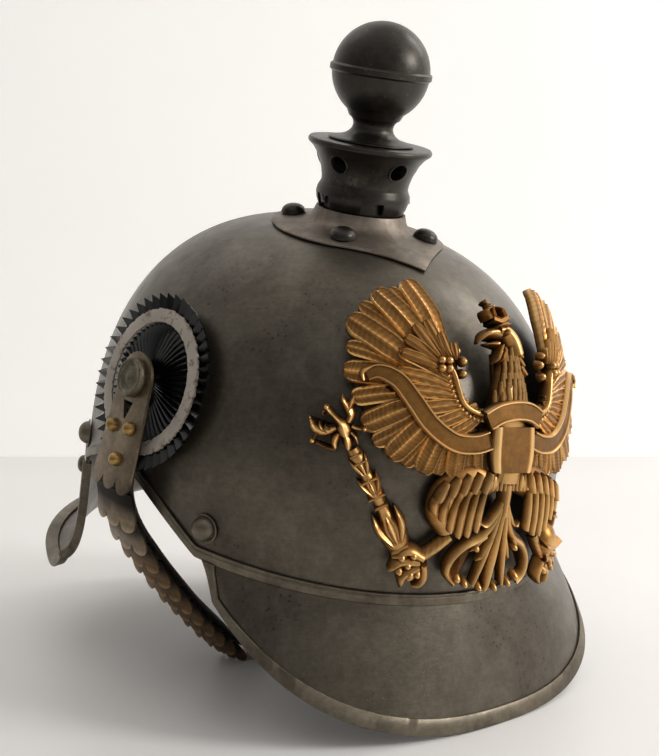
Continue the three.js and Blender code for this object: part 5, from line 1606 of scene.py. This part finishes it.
def stage_piece(name, bm, colour, roughness, one_sided):
    mesh = bpy.data.meshes.new(name)
    bm.to_mesh(mesh)
    bm.free()
    material, tree, shader = new_material(name)
    noise = add_node(tree, "ShaderNodeTexNoise", Scale=3.0, Detail=3.0)
    placed_on_piece(tree, noise)
    toned = shaded(tree, colour, remap(tree, noise.outputs["Fac"], 0.3, 0.7, 0.97, 1.03))
    tree.links.new(toned, shader.inputs["Base Color"])
    shader.inputs["Roughness"].default_value = roughness
    if one_sided:
        shader.inputs["Emission Color"].default_value = (*colour, 1)
        shader.inputs["Emission Strength"].default_value = STAGE["wall_glow"]
        clear = add_node(tree, "ShaderNodeBsdfTransparent")
        mix = add_node(tree, "ShaderNodeMixShader")
        back = add_node(tree, "ShaderNodeNewGeometry").outputs["Backfacing"]
        tree.links.new(back, mix.inputs[0])
        tree.links.new(shader.outputs[0], mix.inputs[1])
        tree.links.new(clear.outputs[0], mix.inputs[2])
        tree.links.new(mix.outputs[0], tree.nodes["Material Output"].inputs["Surface"])
    mesh.materials.append(material)
    piece = bpy.data.objects.new(name, mesh)
    bpy.context.scene.collection.objects.link(piece)


def add_lamp(name, place, size, power, colour):
    lamp = bpy.data.lights.new(name, "AREA")
    lamp.size = size
    lamp.energy = power
    lamp.color = colour
    stand = bpy.data.objects.new(name, lamp)
    stand.location = place
    stand.rotation_mode = "QUATERNION"
    stand.rotation_quaternion = (LAMPS_AIM - Vector(place)).to_track_quat("-Z", "Y")
    bpy.context.scene.collection.objects.link(stand)


def camera_place():
    return CROWN_POINT + Vector(CAMERA["from_crown"])


def add_camera():
    heading, dip = CAMERA["heading"], CAMERA["dip"]
    lens = bpy.data.cameras.new("camera")
    lens.lens = CAMERA["lens"]
    lens.sensor_width = CAMERA["sensor"]
    camera = bpy.data.objects.new("camera", lens)
    camera.location = camera_place()
    look = Vector((math.sin(heading) * math.cos(dip), math.cos(heading) * math.cos(dip), -math.sin(dip)))
    camera.rotation_mode = "QUATERNION"
    camera.rotation_quaternion = look.to_track_quat("-Z", "Y")
    bpy.context.scene.collection.objects.link(camera)
    bpy.context.scene.camera = camera


# Operators

class HELMET_OT_stage(bpy.types.Operator):
    """Adds the floor, wall, lamps and camera."""

    bl_idname = "helmet.stage"
    bl_label = "Stage and Camera"

    def execute(self, context):
        add_camera()
        add_stage()
        return {"FINISHED"}


class HELMET_OT_skull(bpy.types.Operator):
    """Adds the skull and the band round its rim."""

    bl_idname = "helmet.skull"
    bl_label = "Skull and Rim"

    def execute(self, context):
        add_skull()
        add_rim_band()
        return {"FINISHED"}


class HELMET_OT_peaks(bpy.types.Operator):
    """Adds the front peak and the neck guard with their rolled edges."""

    bl_idname = "helmet.peaks"
    bl_label = "Peak and Neck Guard"

    def execute(self, context):
        add_sheet("front_sheet", "front_peak", peak_skin, columns=120, rows=16)
        add_trim("front_edge", "front_peak_trim", peak_skin, columns=160, slack=BAND["gap"])
        add_sheet("guard_sheet", "neck_guard", guard_skin, columns=100, rows=24)
        add_trim("guard_edge", "neck_guard_trim", guard_skin, columns=120, slack=2 * BAND["gap"])
        return {"FINISHED"}


class HELMET_OT_crown(bpy.types.Operator):
    """Adds the crown plate, vent collar, ball finial and all large rivets."""

    bl_idname = "helmet.crown"
    bl_label = "Crown and Rivets"

    def execute(self, context):
        add_crown_plate()
        add_vent()
        add_ball()
        add_rivets()
        return {"FINISHED"}


class HELMET_OT_cockade(bpy.types.Operator):
    """Adds the pleated cockade and the two bosses."""

    bl_idname = "helmet.cockade"
    bl_label = "Cockade and Bosses"

    def execute(self, context):
        add_cockade()
        add_bosses()
        return {"FINISHED"}


class HELMET_OT_chin(bpy.types.Operator):
    """Adds the chin strap with its head plates and scales."""

    bl_idname = "helmet.chin"
    bl_label = "Chin Scales"

    def execute(self, context):
        add_leather()
        add_head_plates()
        add_scales()
        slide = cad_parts["strap_slide"]
        slide.data.materials.clear()
        slide.data.materials.append(finish_of("button_metal"))
        return {"FINISHED"}


class HELMET_OT_eagle(bpy.types.Operator):
    """Adds the pierced eagle plate in relief."""

    bl_idname = "helmet.eagle"
    bl_label = "Eagle Plate"

    def execute(self, context):
        add_eagle()
        return {"FINISHED"}


OPERATORS = (HELMET_OT_stage, HELMET_OT_skull, HELMET_OT_peaks, HELMET_OT_crown, HELMET_OT_cockade,
             HELMET_OT_chin, HELMET_OT_eagle)


class HELMET_PT_panel(bpy.types.Panel):
    """Lists the helmet's operators."""

    bl_idname = "HELMET_PT_panel"
    bl_label = "Helmet"
    bl_space_type = "VIEW_3D"
    bl_region_type = "UI"
    bl_category = "Helmet"

    def draw(self, context):
        for operator in OPERATORS:
            self.layout.operator(operator.bl_idname)


CLASSES = (FinishColours, FinishSizes, *OPERATORS, HELMET_PT_panel)


def register():
    for cls in CLASSES:
        bpy.utils.register_class(cls)
    bpy.types.Scene.helmet_colours = bpy.props.PointerProperty(type=FinishColours)
    bpy.types.Scene.helmet_sizes = bpy.props.PointerProperty(type=FinishSizes)


def unregister():
    del bpy.types.Scene.helmet_sizes
    del bpy.types.Scene.helmet_colours
    for cls in reversed(CLASSES):
        bpy.utils.unregister_class(cls)


def main():
    register()
    for name in ("stage", "skull", "peaks", "crown", "cockade", "chin", "eagle"):
        getattr(bpy.ops.helmet, name)()


if __name__ == "__main__":
    main()
